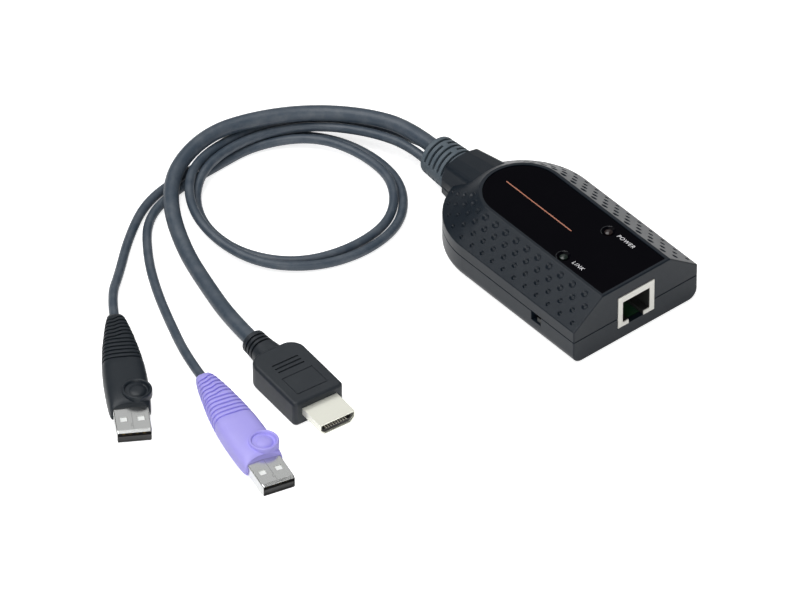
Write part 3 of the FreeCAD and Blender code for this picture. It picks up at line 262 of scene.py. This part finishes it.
def label_finish(case):
    """Black gloss film of the label panel."""
    return surface("Black gloss film", case.label, 0.10, 0.16, grain=300, bump=0.005, worn=0.0008,
                   specular=0.02)


def light_pipe_finish(name, color):
    """Tinted plastic of a light pipe whose lamp is off."""
    return surface(name, color, 0.2, 0.3, worn=0.01, coat=0.1)


def rubber_finish(case):
    """Grey rubber of the strain relief."""
    return surface("Grey rubber", case.boot, 0.5, 0.65, grain=1400, bump=0.15, worn=0.1, amount=0.4,
                   specular=0.4)


def tin_finish():
    """Dull tin plating of the jack's can."""
    return surface("Tin plated can", (0.80, 0.79, 0.73), 0.3, 0.42, grain=900, worn=0.3, metallic=0.35,
                   specular=0.6)


def steel_finish(name, color, low, high, metallic=1.0):
    """Plated metal with faint rolling marks."""
    material = surface(name, color, low, high, grain=900, worn=0.2, amount=0.3, metallic=metallic)
    tree = material.node_tree
    place = add_node(tree, "ShaderNodeTexCoord")
    stretch = add_node(tree, "ShaderNodeMapping")
    stretch.inputs["Scale"].default_value = ROLLING_SCALE
    brushed = add_node(tree, "ShaderNodeTexNoise", Scale=1.0, Detail=2.0)
    raised = add_node(tree, "ShaderNodeBump", Strength=0.05)
    raised.inputs["Distance"].default_value = ROLLING_HEIGHT
    shader = tree.nodes["Principled BSDF"]
    tree.links.new(place.outputs["Object"], stretch.inputs["Vector"])
    tree.links.new(stretch.outputs["Vector"], brushed.inputs["Vector"])
    tree.links.new(brushed.outputs["Fac"], raised.inputs["Height"])
    tree.links.new(raised.outputs["Normal"], shader.inputs["Normal"])
    return material


def finish(names, material):
    """Give the named CAD nodes one material."""
    for name in names:
        materials = NODES[name].data.materials
        materials.clear()
        materials.append(material)


# ------------------------------------------------------------------ modelling helpers
MERGE_DISTANCE = 1e-7
SHELL_LENGTH = 0.012  # how far a serial plug's shell stands out of its moulding


def new_piece(name, mesh, material, smooth_angle=35.0):
    """A finished mesh becomes a piece of the adapter."""
    data = bpy.data.meshes.new(name)
    bmesh.ops.remove_doubles(mesh, verts=mesh.verts, dist=MERGE_DISTANCE)
    bmesh.ops.recalc_face_normals(mesh, faces=mesh.faces)
    mesh.to_mesh(data)
    mesh.free()
    data.shade_smooth()
    data.set_sharp_from_angle(angle=math.radians(smooth_angle))
    piece = bpy.data.objects.new(name, data)
    bpy.context.scene.collection.objects.link(piece)
    data.materials.append(material)
    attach(piece, BODY)
    return piece


def plug_place(mount):
    """Matrix from a serial plug's own axes (+Y out of the moulding's mouth) to where it lies."""
    axis = Vector(MOUNTS[mount]["axis"])
    tip = Vector(MOUNTS[mount]["pos_m"])
    turn = math.atan2(axis.y, axis.x) - math.pi / 2
    return Matrix.Translation(tip - axis * SHELL_LENGTH) @ Matrix.Rotation(turn, 4, "Z")


def plan_middle(node):
    """X and Y of the middle of a CAD node."""
    low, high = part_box(node)
    return (low[0] + high[0]) / 2, (low[1] + high[1]) / 2


# ------------------------------------------------------------------ cables
def cable_finish(cables):
    """Satin jacket with a very fine matte skin."""
    return surface("Slate jacket", cables.jacket, 0.38, 0.52, grain=1500, bump=0.10, worn=0.10,
                   specular=0.55, drift=160)


def lay_cable(name, route, diameter, material):
    """One cable as a smooth curve on its route."""
    curve = bpy.data.curves.new(name, "CURVE")
    curve.dimensions = "3D"
    curve.bevel_depth = diameter / 2
    curve.bevel_resolution = 7
    curve.resolution_u = 14
    curve.use_fill_caps = True
    spline = curve.splines.new("NURBS")
    spline.points.add(len(route) - 1)
    for point, place in zip(spline.points, route):
        point.co = (*place, 1)
    spline.order_u = 3
    spline.use_endpoint_u = True
    curve.materials.append(material)
    piece = bpy.data.objects.new(name + "_laid", curve)
    bpy.context.scene.collection.objects.link(piece)
    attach(piece, BODY)
    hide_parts(name)


# ------------------------------------------------------------------ serial plugs
# All sizes of this section are in millimetres, in the plug's own axes.
PLUG_STATIONS = (  # from the mouth, half width, half height
    (0.0, 6.7, 3.5), (0.6, 6.9, 3.75), (1.5, 7.05, 4.05), (3.0, 7.2, 4.35), (6.5, 7.4, 4.6),
    (11.0, 7.5, 4.6), (16.0, 7.5, 4.6), (21.0, 7.3, 4.5), (26.0, 6.9, 4.4), (31.0, 6.3, 4.2),
    (36.0, 5.5, 4.0), (40.0, 4.8, 3.7), (43.5, 4.1, 3.4), (46.5, 3.4, 2.9), (48.0, 2.8, 2.45),
    (48.5, 2.3, 2.0),
)
STATION_EASE = 0.35  # how far the run between two stations bends towards an S
SECTION_POWER = 0.62  # under 1 squares the oval section up
MOUTH_RADIUS, MOUTH_HOLLOW, MOUTH_LENGTH = 14.4, 1.4, 3.0  # curve of the mouth's edge, fading over its length
GROOVE_FIRST, GROOVE_PITCH, GROOVE_WIDTH, GROOVES = 24.0, 1.95, 0.8, 12
GROOVE_LEAD, GROOVE_WALL = 0.25, 0.15  # rounding beside a groove, and its sloping wall
GROOVE_LIP = 0.1  # share of the depth that the lip is sunk
STAGGER_REACH = 0.6  # half width over which a staggered groove steps across
STATION_CLEARANCE = 0.9  # from the grooves to the nearest plain station
RING_CENTRE = Vector((-2.9, -6.2, 0.0))
RING_PROFILE = (  # from the ring's axis, height
    (0.0, 5.10), (1.0, 5.05), (1.8, 4.90), (2.4, 4.66), (2.75, 4.40), (2.95, 4.10), (3.45, 4.05), (3.7, 4.30),
    (3.85, 4.95), (4.0, 5.32), (4.28, 5.48), (4.58, 5.40), (4.76, 5.1), (4.8, 4.6), (4.8, 2.5),
)
WINDOW_MIDDLES = ((-2.95, 5.3), (2.95, 5.3))
# Pale plates under the windows make them read white; the insulators inside are dark.
WINDOW_PLATE, WINDOW_PLATE_HEIGHT = (2.3, 2.3, 0.1), 1.86
# The seam is a thin dark strip on the shell, painted shade for its closing crack.
SEAM_PATH = ((0, 0.4), (0, 7.6), (0.6, 7.9), (0.6, 8.9), (0, 8.6), (0, 10.65))
SEAM_WIDTH, SEAM_THICKNESS, SEAM_HEIGHT = 0.09, 0.02, 2.255


def plug_half_sizes(distance):
    """Half width and half height of the moulding at a distance from its mouth."""
    for near, far in zip(PLUG_STATIONS, PLUG_STATIONS[1:]):
        if distance <= far[0]:
            share = (distance - near[0]) / (far[0] - near[0])
            share = share * share * (3 - 2 * share) * STATION_EASE + share * (1 - STATION_EASE)
            return near[1] + (far[1] - near[1]) * share, near[2] + (far[2] - near[2]) * share
    return PLUG_STATIONS[-1][1:]


def plug_rings(depth):
    """Every ring of the moulding: distance from the mouth, how far it is sunk, whether it is staggered."""
    half = GROOVE_WIDTH / 2
    groove = ((-half - GROOVE_LEAD, 0.0), (-half, GROOVE_LIP * depth), (-half + GROOVE_WALL, depth),
              (half - GROOVE_WALL, depth), (half, GROOVE_LIP * depth), (half + GROOVE_LEAD, 0.0))
    grooved = [(GROOVE_FIRST + number * GROOVE_PITCH + along, sunk, number >= GROOVES / 2)
               for number in range(GROOVES) for along, sunk in groove]
    plain = [(station[0], 0.0, False) for station in PLUG_STATIONS]
    return ([ring for ring in plain if ring[0] < grooved[0][0] - STATION_CLEARANCE] + grooved
            + [ring for ring in plain if ring[0] > grooved[-1][0] + STATION_CLEARANCE])


def grip_point(corner, distance, sunk, staggered):
    """Where one point of the squared section lies on the ring at a distance from the mouth."""
    half_width, half_height = plug_half_sizes(distance)
    across, up = corner.x * half_width, corner.z * half_height
    slim = 1 - sunk / math.hypot(across, up)
    along = -distance
    if staggered:
        along += GROOVE_PITCH / 4 * max(-1.0, min(1.0, across / STAGGER_REACH))
    if distance < MOUTH_LENGTH:
        hollow = MOUTH_HOLLOW - MOUTH_RADIUS + math.sqrt(MOUTH_RADIUS ** 2 - across ** 2)
        along -= hollow * (1 - distance / MOUTH_LENGTH)
    return Vector((across * slim, along, up * slim)) * MM


def next_ring(mesh, verts, edges):
    """Extrude one ring. The new points come back in the order of the last ring's."""
    grown = bmesh.ops.extrude_edge_only(mesh, edges=edges)["geom"]
    edges = [item for item in grown if isinstance(item, bmesh.types.BMEdge)
             and all(vert in grown for vert in item.verts)]
    fresh = [item for item in grown if isinstance(item, bmesh.types.BMVert)]
    fresh.sort(key=lambda vert: min(range(len(verts)),
                                    key=lambda index: (verts[index].co - vert.co).length_squared))
    return fresh, edges


def moulded_grip(depth):
    """Plug moulding grown ring by ring from its mouth to the cable, with grip grooves sunk into it."""
    mesh = bmesh.new()
    verts = bmesh.ops.create_circle(mesh, segments=56, radius=1.0)["verts"]
    bmesh.ops.rotate(mesh, verts=verts, matrix=Matrix.Rotation(math.pi / 2, 3, "X"))
    for vert in verts:
        for axis in (0, 2):
            vert.co[axis] = math.copysign(abs(vert.co[axis]) ** SECTION_POWER, vert.co[axis])
    section = [vert.co.copy() for vert in verts]
    edges = mesh.edges[:]
    for number, ring in enumerate(plug_rings(depth)):
        if number:
            verts, edges = next_ring(mesh, verts, edges)
        for corner, vert in zip(section, verts):
            vert.co = grip_point(corner, *ring)
    bmesh.ops.holes_fill(mesh, edges=mesh.edges)
    return mesh


def raised_ring(mesh, radius):
    """The raised ring with a shallow dome in it, spun about its own axis and added to the moulding."""
    moulding = set(mesh.verts)
    stretch = radius / RING_PROFILE[-1][0]
    verts = [mesh.verts.new((across * stretch, 0, height * MM)) for across, height in RING_PROFILE]
    edges = [mesh.edges.new(pair) for pair in zip(verts, verts[1:])]
    bmesh.ops.spin(mesh, geom=verts + edges, cent=(0, 0, 0), axis=(0, 0, 1), angle=2 * math.pi, steps=48,
                   use_merge=True)
    ring = [vert for vert in mesh.verts if vert not in moulding]
    bmesh.ops.translate(mesh, verts=ring, vec=RING_CENTRE * MM)


def add_plate(mesh, size, middle, turn=0.0):
    """A flat plate of the given size on the shell, turned in its own plane."""
    plate = bmesh.ops.create_cube(mesh, size=1.0)["verts"]
    bmesh.ops.scale(mesh, vec=size, verts=plate)
    bmesh.ops.rotate(mesh, verts=plate, matrix=Matrix.Rotation(turn, 3, "Z"))
    bmesh.ops.translate(mesh, vec=middle, verts=plate)


def shell_piece(mount, suffix, mesh, material):
    """A mesh in millimetres and a plug's axes becomes a piece in its place."""
    bmesh.ops.scale(mesh, vec=(MM, MM, MM), verts=mesh.verts)
    bmesh.ops.transform(mesh, matrix=plug_place(mount), verts=mesh.verts)
    new_piece(mount + suffix, mesh, material)


def shell_windows(mount, material):
    """Pale plates just under the two upper windows of a serial plug's shell, which make the windows read
    white; the insulators inside the plug are dark.
    """
    mesh = bmesh.new()
    for middle in WINDOW_MIDDLES:
        add_plate(mesh, WINDOW_PLATE, (*middle, WINDOW_PLATE_HEIGHT))
    shell_piece(mount, "_window_backs", mesh, material)


def shell_seam_shade(mount, material):
    """The fine closing seam along the top of a serial plug's shell, with its dovetail: a thin dark strip that
    is painted shade for the crack.
    """
    mesh = bmesh.new()
    for start, end in zip(SEAM_PATH, SEAM_PATH[1:]):
        run = Vector(end) - Vector(start)
        middle = (Vector(start) + Vector(end)) / 2
        add_plate(mesh, (SEAM_WIDTH, run.length + SEAM_WIDTH, SEAM_THICKNESS), (*middle, SEAM_HEIGHT),
                  turn=math.atan2(-run.x, run.y))
    shell_piece(mount, "_seam", mesh, material)


def serial_plug(colour, settings, material):
    """One serial plug moulding in place of its plain solid."""
    mesh = moulded_grip(settings.groove_depth / MM)
    raised_ring(mesh, settings.ring_radius)
    bmesh.ops.transform(mesh, matrix=plug_place(colour + "_serial_plug"), verts=mesh.verts)
    piece = new_piece(colour + "_plug_grip", mesh, material, smooth_angle=50)
    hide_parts(colour + "_plug_body")


# ------------------------------------------------------------------ label print
PRINT_LIFT = 0.00003  # above the label's top
WORD_SIZE, WORD_LEAN, WORD_SPACING = 0.00215, 0.2, 1.2
WORD_RELIEF, WORD_GROWTH = 0.00002, 0.00001
WORD_SHIFTS = {"power": (0.0009, -0.0078), "link": (0.0004, -0.0069)}  # from each light to its word
STRIPE_ACROSS, STRIPE_WIDTH, STRIPE_THICKNESS = -0.0008, 0.00042, 0.00002
STRIPE_FROM, STRIPE_TO = 0.0312, 0.0651  # behind the label's front edge
RIM_RADIUS, RIM_SECTION = 0.0026, 0.0001
# The rim's arc stands only where a glint shows; its lighter grey is partly a painted glint.
RIM_START, RIM_SWEEP = math.radians(20), math.radians(150)


def printed_word(text, centre, height, material):
    """A generic word lying on the label, reading towards the jack."""
    curve = bpy.data.curves.new(text, "FONT")
    curve.body = text
    curve.size = WORD_SIZE
    curve.shear = WORD_LEAN
    curve.align_x = "CENTER"
    curve.align_y = "CENTER"
    curve.extrude = WORD_RELIEF
    curve.offset = WORD_GROWTH
    curve.space_character = WORD_SPACING
    source = bpy.data.objects.new(text, curve)
    bpy.context.scene.collection.objects.link(source)
    bpy.context.view_layer.update()
    data = bpy.data.meshes.new_from_object(source.evaluated_get(bpy.context.evaluated_depsgraph_get()))
    bpy.data.objects.remove(source)
    data.transform(Matrix.Translation((*centre, height)) @ Matrix.Rotation(-math.pi / 2, 4, "Z"))
    data.materials.clear()
    data.materials.append(material)
    piece = bpy.data.objects.new("word_" + text.lower(), data)
    bpy.context.scene.collection.objects.link(piece)
    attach(piece, BODY)


def printed_stripe(front, height, material):
    """The straight coloured stripe printed along the label."""
    mesh = bmesh.new()
    bmesh.ops.create_grid(mesh, x_segments=1, y_segments=12, size=0.5)
    bmesh.ops.scale(mesh, vec=(STRIPE_WIDTH, STRIPE_TO - STRIPE_FROM, 1), verts=mesh.verts)
    bmesh.ops.solidify(mesh, geom=mesh.faces[:], thickness=STRIPE_THICKNESS)
    middle = (STRIPE_ACROSS, front + (STRIPE_FROM + STRIPE_TO) / 2, height)
    bmesh.ops.translate(mesh, vec=middle, verts=mesh.verts)
    new_piece("label_stripe", mesh, material)


def dish_rim_and_glint(light, material):
    """Glossy moulded rim round the dish of one light, an arc only on the side away from its print, in a grey
    lighter than the label: partly a real rim, partly a painted glint.
    """
    mesh = bmesh.new()
    section = bmesh.ops.create_circle(mesh, segments=10, radius=RIM_SECTION)["verts"]
    bmesh.ops.rotate(mesh, verts=section, matrix=Matrix.Rotation(math.pi / 2, 3, "X"))
    bmesh.ops.translate(mesh, verts=section, vec=(RIM_RADIUS, 0, 0))
    bmesh.ops.rotate(mesh, verts=section, cent=(0, 0, 0), matrix=Matrix.Rotation(RIM_START, 3, "Z"))
    bmesh.ops.spin(mesh, geom=mesh.edges[:], cent=(0, 0, 0), axis=(0, 0, 1), angle=RIM_SWEEP, steps=30)
    bmesh.ops.holes_fill(mesh, edges=mesh.edges)
    centre = (*plan_middle(light + "_lens"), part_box("top_label")[1][2])
    bmesh.ops.translate(mesh, verts=mesh.verts, vec=centre)
    new_piece(light + "_dish_rim_and_glint", mesh, material)


# ------------------------------------------------------------------ operators
class DressHousing(bpy.types.Operator):
    """Give the covers, jack, label, lights, switch and inner parts their finishes"""
    bl_idname = "adapter.dress_housing"
    bl_label = "Dress housing"

    def execute(self, context):
        case = context.scene.adapter_case
        finish(["lower_cover", "upper_cover"], covers_finish(case))
        finish(["top_label"], label_finish(case))
        finish(["power_lens"], light_pipe_finish("Clear red light pipe", (0.016, 0.008, 0.008)))
        finish(["link_lens"], light_pipe_finish("Clear green light pipe", (0.008, 0.016, 0.012)))
        finish(["circuit_board"], surface("Green solder mask", (0.008, 0.045, 0.018), 0.3, 0.45, worn=0.04))
        finish(["network_jack_insert", "switch_slider"],
               surface("Black moulding", (0.012, 0.013, 0.012), 0.4, 0.55, worn=0.03))
        finish(["network_jack_contacts", "black_plug_contacts", "violet_plug_contacts"],
               steel_finish("Gold plating", (0.85, 0.62, 0.25), 0.2, 0.3))
        finish(["video_plug_contacts"],
               steel_finish("Flash plating", (0.92, 0.89, 0.76), 0.3, 0.4, metallic=0.4))
        finish(["network_transformer", "main_chip", "video_chip", "memory_chip", "flash_chip"],
               surface("Chip epoxy", (0.02, 0.02, 0.022), 0.5, 0.65, worn=0.05))
        finish(["crystal", "capacitors"], steel_finish("Drawn can", (0.6, 0.6, 0.62), 0.3, 0.45))
        finish(["switch_frame"], steel_finish("Blackened steel", (0.05, 0.05, 0.055), 0.4, 0.55))
        finish(["status_lamps", "wire_headers"], surface("Cream nylon", (0.75, 0.72, 0.62), 0.4, 0.5))
        finish(["cable_leads"], surface("Lead jacket", (0.05, 0.06, 0.07), 0.4, 0.5))
        finish(["case_screws"], steel_finish("Zinc plating", (0.55, 0.56, 0.58), 0.25, 0.4))
        finish(["strain_relief"], rubber_finish(case))
        return {"FINISHED"}


class DressMetal(bpy.types.Operator):
    """Plate the jack's can and the three plug shells, and darken the insulators inside the plugs"""
    bl_idname = "adapter.dress_metal"
    bl_label = "Dress metal"

    def execute(self, context):
        finish(["network_jack_shield"], tin_finish())
        finish(["black_plug_shell", "violet_plug_shell"],
               steel_finish("Bright nickel", (0.66, 0.67, 0.66), 0.16, 0.26))
        finish(["video_plug_shell"], steel_finish("Pale nickel", (0.97, 0.97, 0.86), 0.2, 0.3, metallic=0.55))
        finish(["black_plug_tongue", "violet_plug_tongue", "video_plug_insert"],
               surface("Dark insulator", (0.02, 0.02, 0.02), 0.35, 0.5))
        return {"FINISHED"}


class AddCables(bpy.types.Operator):
    """Lay the three cables on their routes"""
    bl_idname = "adapter.add_cables"
    bl_label = "Add cables"

    def execute(self, context):
        cables = context.scene.adapter_cables
        material = cable_finish(cables)
        lay_cable("video_cable", VIDEO_ROUTE, cables.thick, material)
        for colour, route in (("black", BLACK_ROUTE), ("violet", VIOLET_ROUTE)):
            lay_cable(colour + "_cable", route, cables.thin,
                      material)
        return {"FINISHED"}


class AddPlugs(bpy.types.Operator):
    """Model the grips, window backs and seams of the serial plugs, the seams as painted shade, and finish the
    video plug
    """
    bl_idname = "adapter.add_plugs"
    bl_label = "Add plugs"

    def execute(self, context):
        plugs = context.scene.adapter_plugs
        black = surface("Black grip", plugs.black, 0.38, 0.5, grain=2400, bump=0.1, worn=0.01, specular=0.35)
        violet = surface("Violet grip", plugs.violet, 0.4, 0.52, grain=2400, bump=0.08, worn=0.12,
                         amount=0.35)
        serial_plug("black", plugs, black)
        serial_plug("violet", plugs, violet)
        # Colour of the plates under the shell windows, paler than the dark insulators inside.
        pale = surface("Pale window plates", (0.86, 0.88, 0.86), 0.4, 0.5, worn=0.1)
        # Colour of the seam strips: painted shade.
        dark = surface("Seam shade", (0.10, 0.105, 0.11), 0.4, 0.5, metallic=0.6)
        for mount in ("black_serial_plug", "violet_serial_plug"):
            shell_windows(mount, pale)
            shell_seam_shade(mount, dark)
        finish(["video_plug_body"], surface("Graphite grip", lighter(plugs.black, 0.006), 0.42, 0.55,
                                            grain=2400, bump=0.12, worn=0.01, specular=0.4))
        return {"FINISHED"}


class AddPrint(bpy.types.Operator):
    """Print the stripe and the two light names on the label, and rim the dishes of the lights with arcs that
    are partly a painted glint
    """
    bl_idname = "adapter.add_print"
    bl_label = "Add print"

    def execute(self, context):
        case = context.scene.adapter_case
        low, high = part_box("top_label")
        top = high[2] + PRINT_LIFT
        ink = surface("White ink", (0.78, 0.78, 0.80), 0.35, 0.45, worn=0.1, bump=0.0)
        copper = surface("Copper ink", case.stripe, 0.3, 0.4, worn=0.1, bump=0.0)
        # Grey of the dish rims, lighter than the label: partly a painted glint.
        gloss = surface("Gloss rim and painted glint", (0.035, 0.038, 0.042), 0.15, 0.25, worn=0.02, bump=0.0)
        for light, shift in WORD_SHIFTS.items():
            across, along = plan_middle(light + "_lens")
            printed_word(light.upper(), (across + shift[0], along + shift[1]), top, ink)
        for light in WORD_SHIFTS:
            dish_rim_and_glint(light, gloss)
        printed_stripe(low[1], top, copper)
        return {"FINISHED"}


class AddStudio(bpy.types.Operator):
    """Set up the floor, soft lights and camera"""
    bl_idname = "adapter.add_studio"
    bl_label = "Add studio"

    def execute(self, context):
        studio = context.scene.adapter_studio
        add_floor()
        add_world()
        add_softbox("Overhead softbox", (-0.35, 0.25, 1.05), (-0.05, 0.03, 0), 1.0, studio.key_power)
        add_softbox("Front softbox", (-0.75, -0.85, 0.45), (-0.05, 0.0, 0), 0.8, studio.fill_power)
        add_softbox("Rear softbox", (0.50, 0.72, 0.78), (-0.08, 0.0, 0), 0.8, studio.rear_power)
        add_camera(studio)
        context.scene.view_settings.view_transform = "Standard"
        return {"FINISHED"}


# ------------------------------------------------------------------ studio
AIM = Vector((-0.05084, 0.01087, 0.0))
CAMERA_AZIMUTH, CAMERA_ELEVATION = math.radians(-39.95), math.radians(41.0)
CLIP_END = 20
FLOOR_HALF = 4.0
FLOOR_PAINT = 0.86
FLOOR_GLOW = 0.72  # with the lit paint, this takes the floor to white
MIRRORED_GLOW = 0.5  # share of the floor's glow that shows in reflections
LIGHT_LOW, LIGHT_HIGH = 0.23, 0.16  # strength of the surroundings near the horizon and overhead
LOW_RISE, HIGH_RISE = 0.05, 0.85  # where the surroundings start and stop fading, as height on a unit dome


def add_camera(studio):
    """The camera on its arm from the aim point."""
    camera = bpy.data.objects.new("Camera", bpy.data.cameras.new("Camera"))
    bpy.context.scene.collection.objects.link(camera)
    away = Vector((math.sin(CAMERA_AZIMUTH) * math.cos(CAMERA_ELEVATION),
                   -math.cos(CAMERA_AZIMUTH) * math.cos(CAMERA_ELEVATION), math.sin(CAMERA_ELEVATION)))
    camera.location = AIM + away * studio.distance
    camera.rotation_euler = (-away).to_track_quat("-Z", "Y").to_euler()
    camera.data.lens = studio.lens
    camera.data.clip_end = CLIP_END
    bpy.context.scene.camera = camera


def add_floor():
    """Wide pale floor that keeps the object's shadow and reads as white to the camera."""
    mesh = bmesh.new()
    bmesh.ops.create_grid(mesh, x_segments=8, y_segments=8, size=FLOOR_HALF)
    data = bpy.data.meshes.new("Floor")
    mesh.to_mesh(data)
    mesh.free()
    floor = bpy.data.objects.new("Floor", data)
    bpy.context.scene.collection.objects.link(floor)
    material = bpy.data.materials.new("Pale floor")
    material.use_nodes = True
    tree = material.node_tree
    tree.nodes.clear()
    sink = add_node(tree, "ShaderNodeOutputMaterial")
    paint = add_node(tree, "ShaderNodeBsdfDiffuse", Color=(FLOOR_PAINT, FLOOR_PAINT, FLOOR_PAINT, 1))
    glow = add_node(tree, "ShaderNodeEmission", Strength=FLOOR_GLOW)
    path = add_node(tree, "ShaderNodeLightPath")
    both = add_node(tree, "ShaderNodeAddShader")
    pick = add_node(tree, "ShaderNodeMixShader")
    tree.links.new(paint.outputs["BSDF"], both.inputs[0])
    tree.links.new(glow.outputs["Emission"], both.inputs[1])
    mirrored = add_node(tree, "ShaderNodeMath", operation="MULTIPLY")
    mirrored.inputs[1].default_value = MIRRORED_GLOW
    through = add_node(tree, "ShaderNodeMath", operation="MAXIMUM")
    seen = add_node(tree, "ShaderNodeMath", operation="MAXIMUM")
    tree.links.new(path.outputs["Is Glossy Ray"], mirrored.inputs[0])
    tree.links.new(path.outputs["Is Transmission Ray"], through.inputs[0])
    tree.links.new(mirrored.outputs["Value"], through.inputs[1])
    tree.links.new(path.outputs["Is Camera Ray"], seen.inputs[0])
    tree.links.new(through.outputs["Value"], seen.inputs[1])
    tree.links.new(seen.outputs["Value"], pick.inputs["Fac"])
    tree.links.new(paint.outputs["BSDF"], pick.inputs[1])
    tree.links.new(both.outputs["Shader"], pick.inputs[2])
    tree.links.new(pick.outputs["Shader"], sink.inputs["Surface"])
    data.materials.append(material)


def add_world():
    """Soft surroundings: white to the camera, and to other rays a dim grey that fades overhead."""
    world = bpy.data.worlds.new("Studio")
    bpy.context.scene.world = world
    world.use_nodes = True
    tree = world.node_tree
    tree.nodes.clear()
    sink = add_node(tree, "ShaderNodeOutputWorld")
    path = add_node(tree, "ShaderNodeLightPath")
    place = add_node(tree, "ShaderNodeTexCoord")
    split = add_node(tree, "ShaderNodeSeparateXYZ")
    ramp = add_node(tree, "ShaderNodeMapRange", **{"From Min": LOW_RISE, "From Max": HIGH_RISE,
                                                   "To Min": LIGHT_LOW, "To Max": LIGHT_HIGH})
    air = add_node(tree, "ShaderNodeBackground")
    white = add_node(tree, "ShaderNodeBackground")
    pick = add_node(tree, "ShaderNodeMixShader")
    tree.links.new(place.outputs["Generated"], split.inputs["Vector"])
    tree.links.new(split.outputs["Z"], ramp.inputs["Value"])
    tree.links.new(ramp.outputs["Result"], air.inputs["Strength"])
    tree.links.new(path.outputs["Is Camera Ray"], pick.inputs["Fac"])
    tree.links.new(air.outputs["Background"], pick.inputs[1])
    tree.links.new(white.outputs["Background"], pick.inputs[2])
    tree.links.new(pick.outputs["Shader"], sink.inputs["Surface"])


def add_softbox(name, place, target, size, power):
    """A square area light that faces a point."""
    data = bpy.data.lights.new(name, "AREA")
    data.size = size
    data.energy = power
    lamp = bpy.data.objects.new(name, data)
    lamp.location = place
    lamp.rotation_euler = (Vector(target) - Vector(place)).to_track_quat("-Z", "Y").to_euler()
    bpy.context.scene.collection.objects.link(lamp)


# ------------------------------------------------------------------ panel and registration
class AdapterPanel(bpy.types.Panel):
    """Sizes, colours and steps of the adapter"""
    bl_idname = "VIEW3D_PT_adapter"
    bl_label = "Adapter"
    bl_space_type = "VIEW_3D"
    bl_region_type = "UI"
    bl_category = "Adapter"

    def draw(self, context):
        for group in (context.scene.adapter_case, context.scene.adapter_cables, context.scene.adapter_plugs,
                      context.scene.adapter_studio):
            for field in group.__annotations__:
                self.layout.prop(group, field)
        for operator in OPERATORS:
            self.layout.operator(operator.bl_idname)


SETTINGS = {"adapter_case": CaseSettings, "adapter_cables": CableSettings, "adapter_plugs": PlugSettings,
            "adapter_studio": StudioSettings}
OPERATORS = (AddStudio, DressHousing, DressMetal, AddPlugs, AddCables, AddPrint)


def register():
    """Register the classes and hang the settings on the scene."""
    for cls in (*SETTINGS.values(), *OPERATORS, AdapterPanel):
        bpy.utils.register_class(cls)
    for name, cls in SETTINGS.items():
        setattr(bpy.types.Scene, name, bpy.props.PointerProperty(type=cls))


def unregister():
    """Take the settings and classes away again."""
    for name in SETTINGS:
        delattr(bpy.types.Scene, name)
    for cls in reversed((*SETTINGS.values(), *OPERATORS, AdapterPanel)):
        bpy.utils.unregister_class(cls)


def main():
    """Run every step."""
    register()
    bpy.ops.adapter.add_studio()
    bpy.ops.adapter.dress_housing()
    bpy.ops.adapter.dress_metal()
    bpy.ops.adapter.add_plugs()
    bpy.ops.adapter.add_cables()
    bpy.ops.adapter.add_print()


if __name__ == "__main__":
    main()
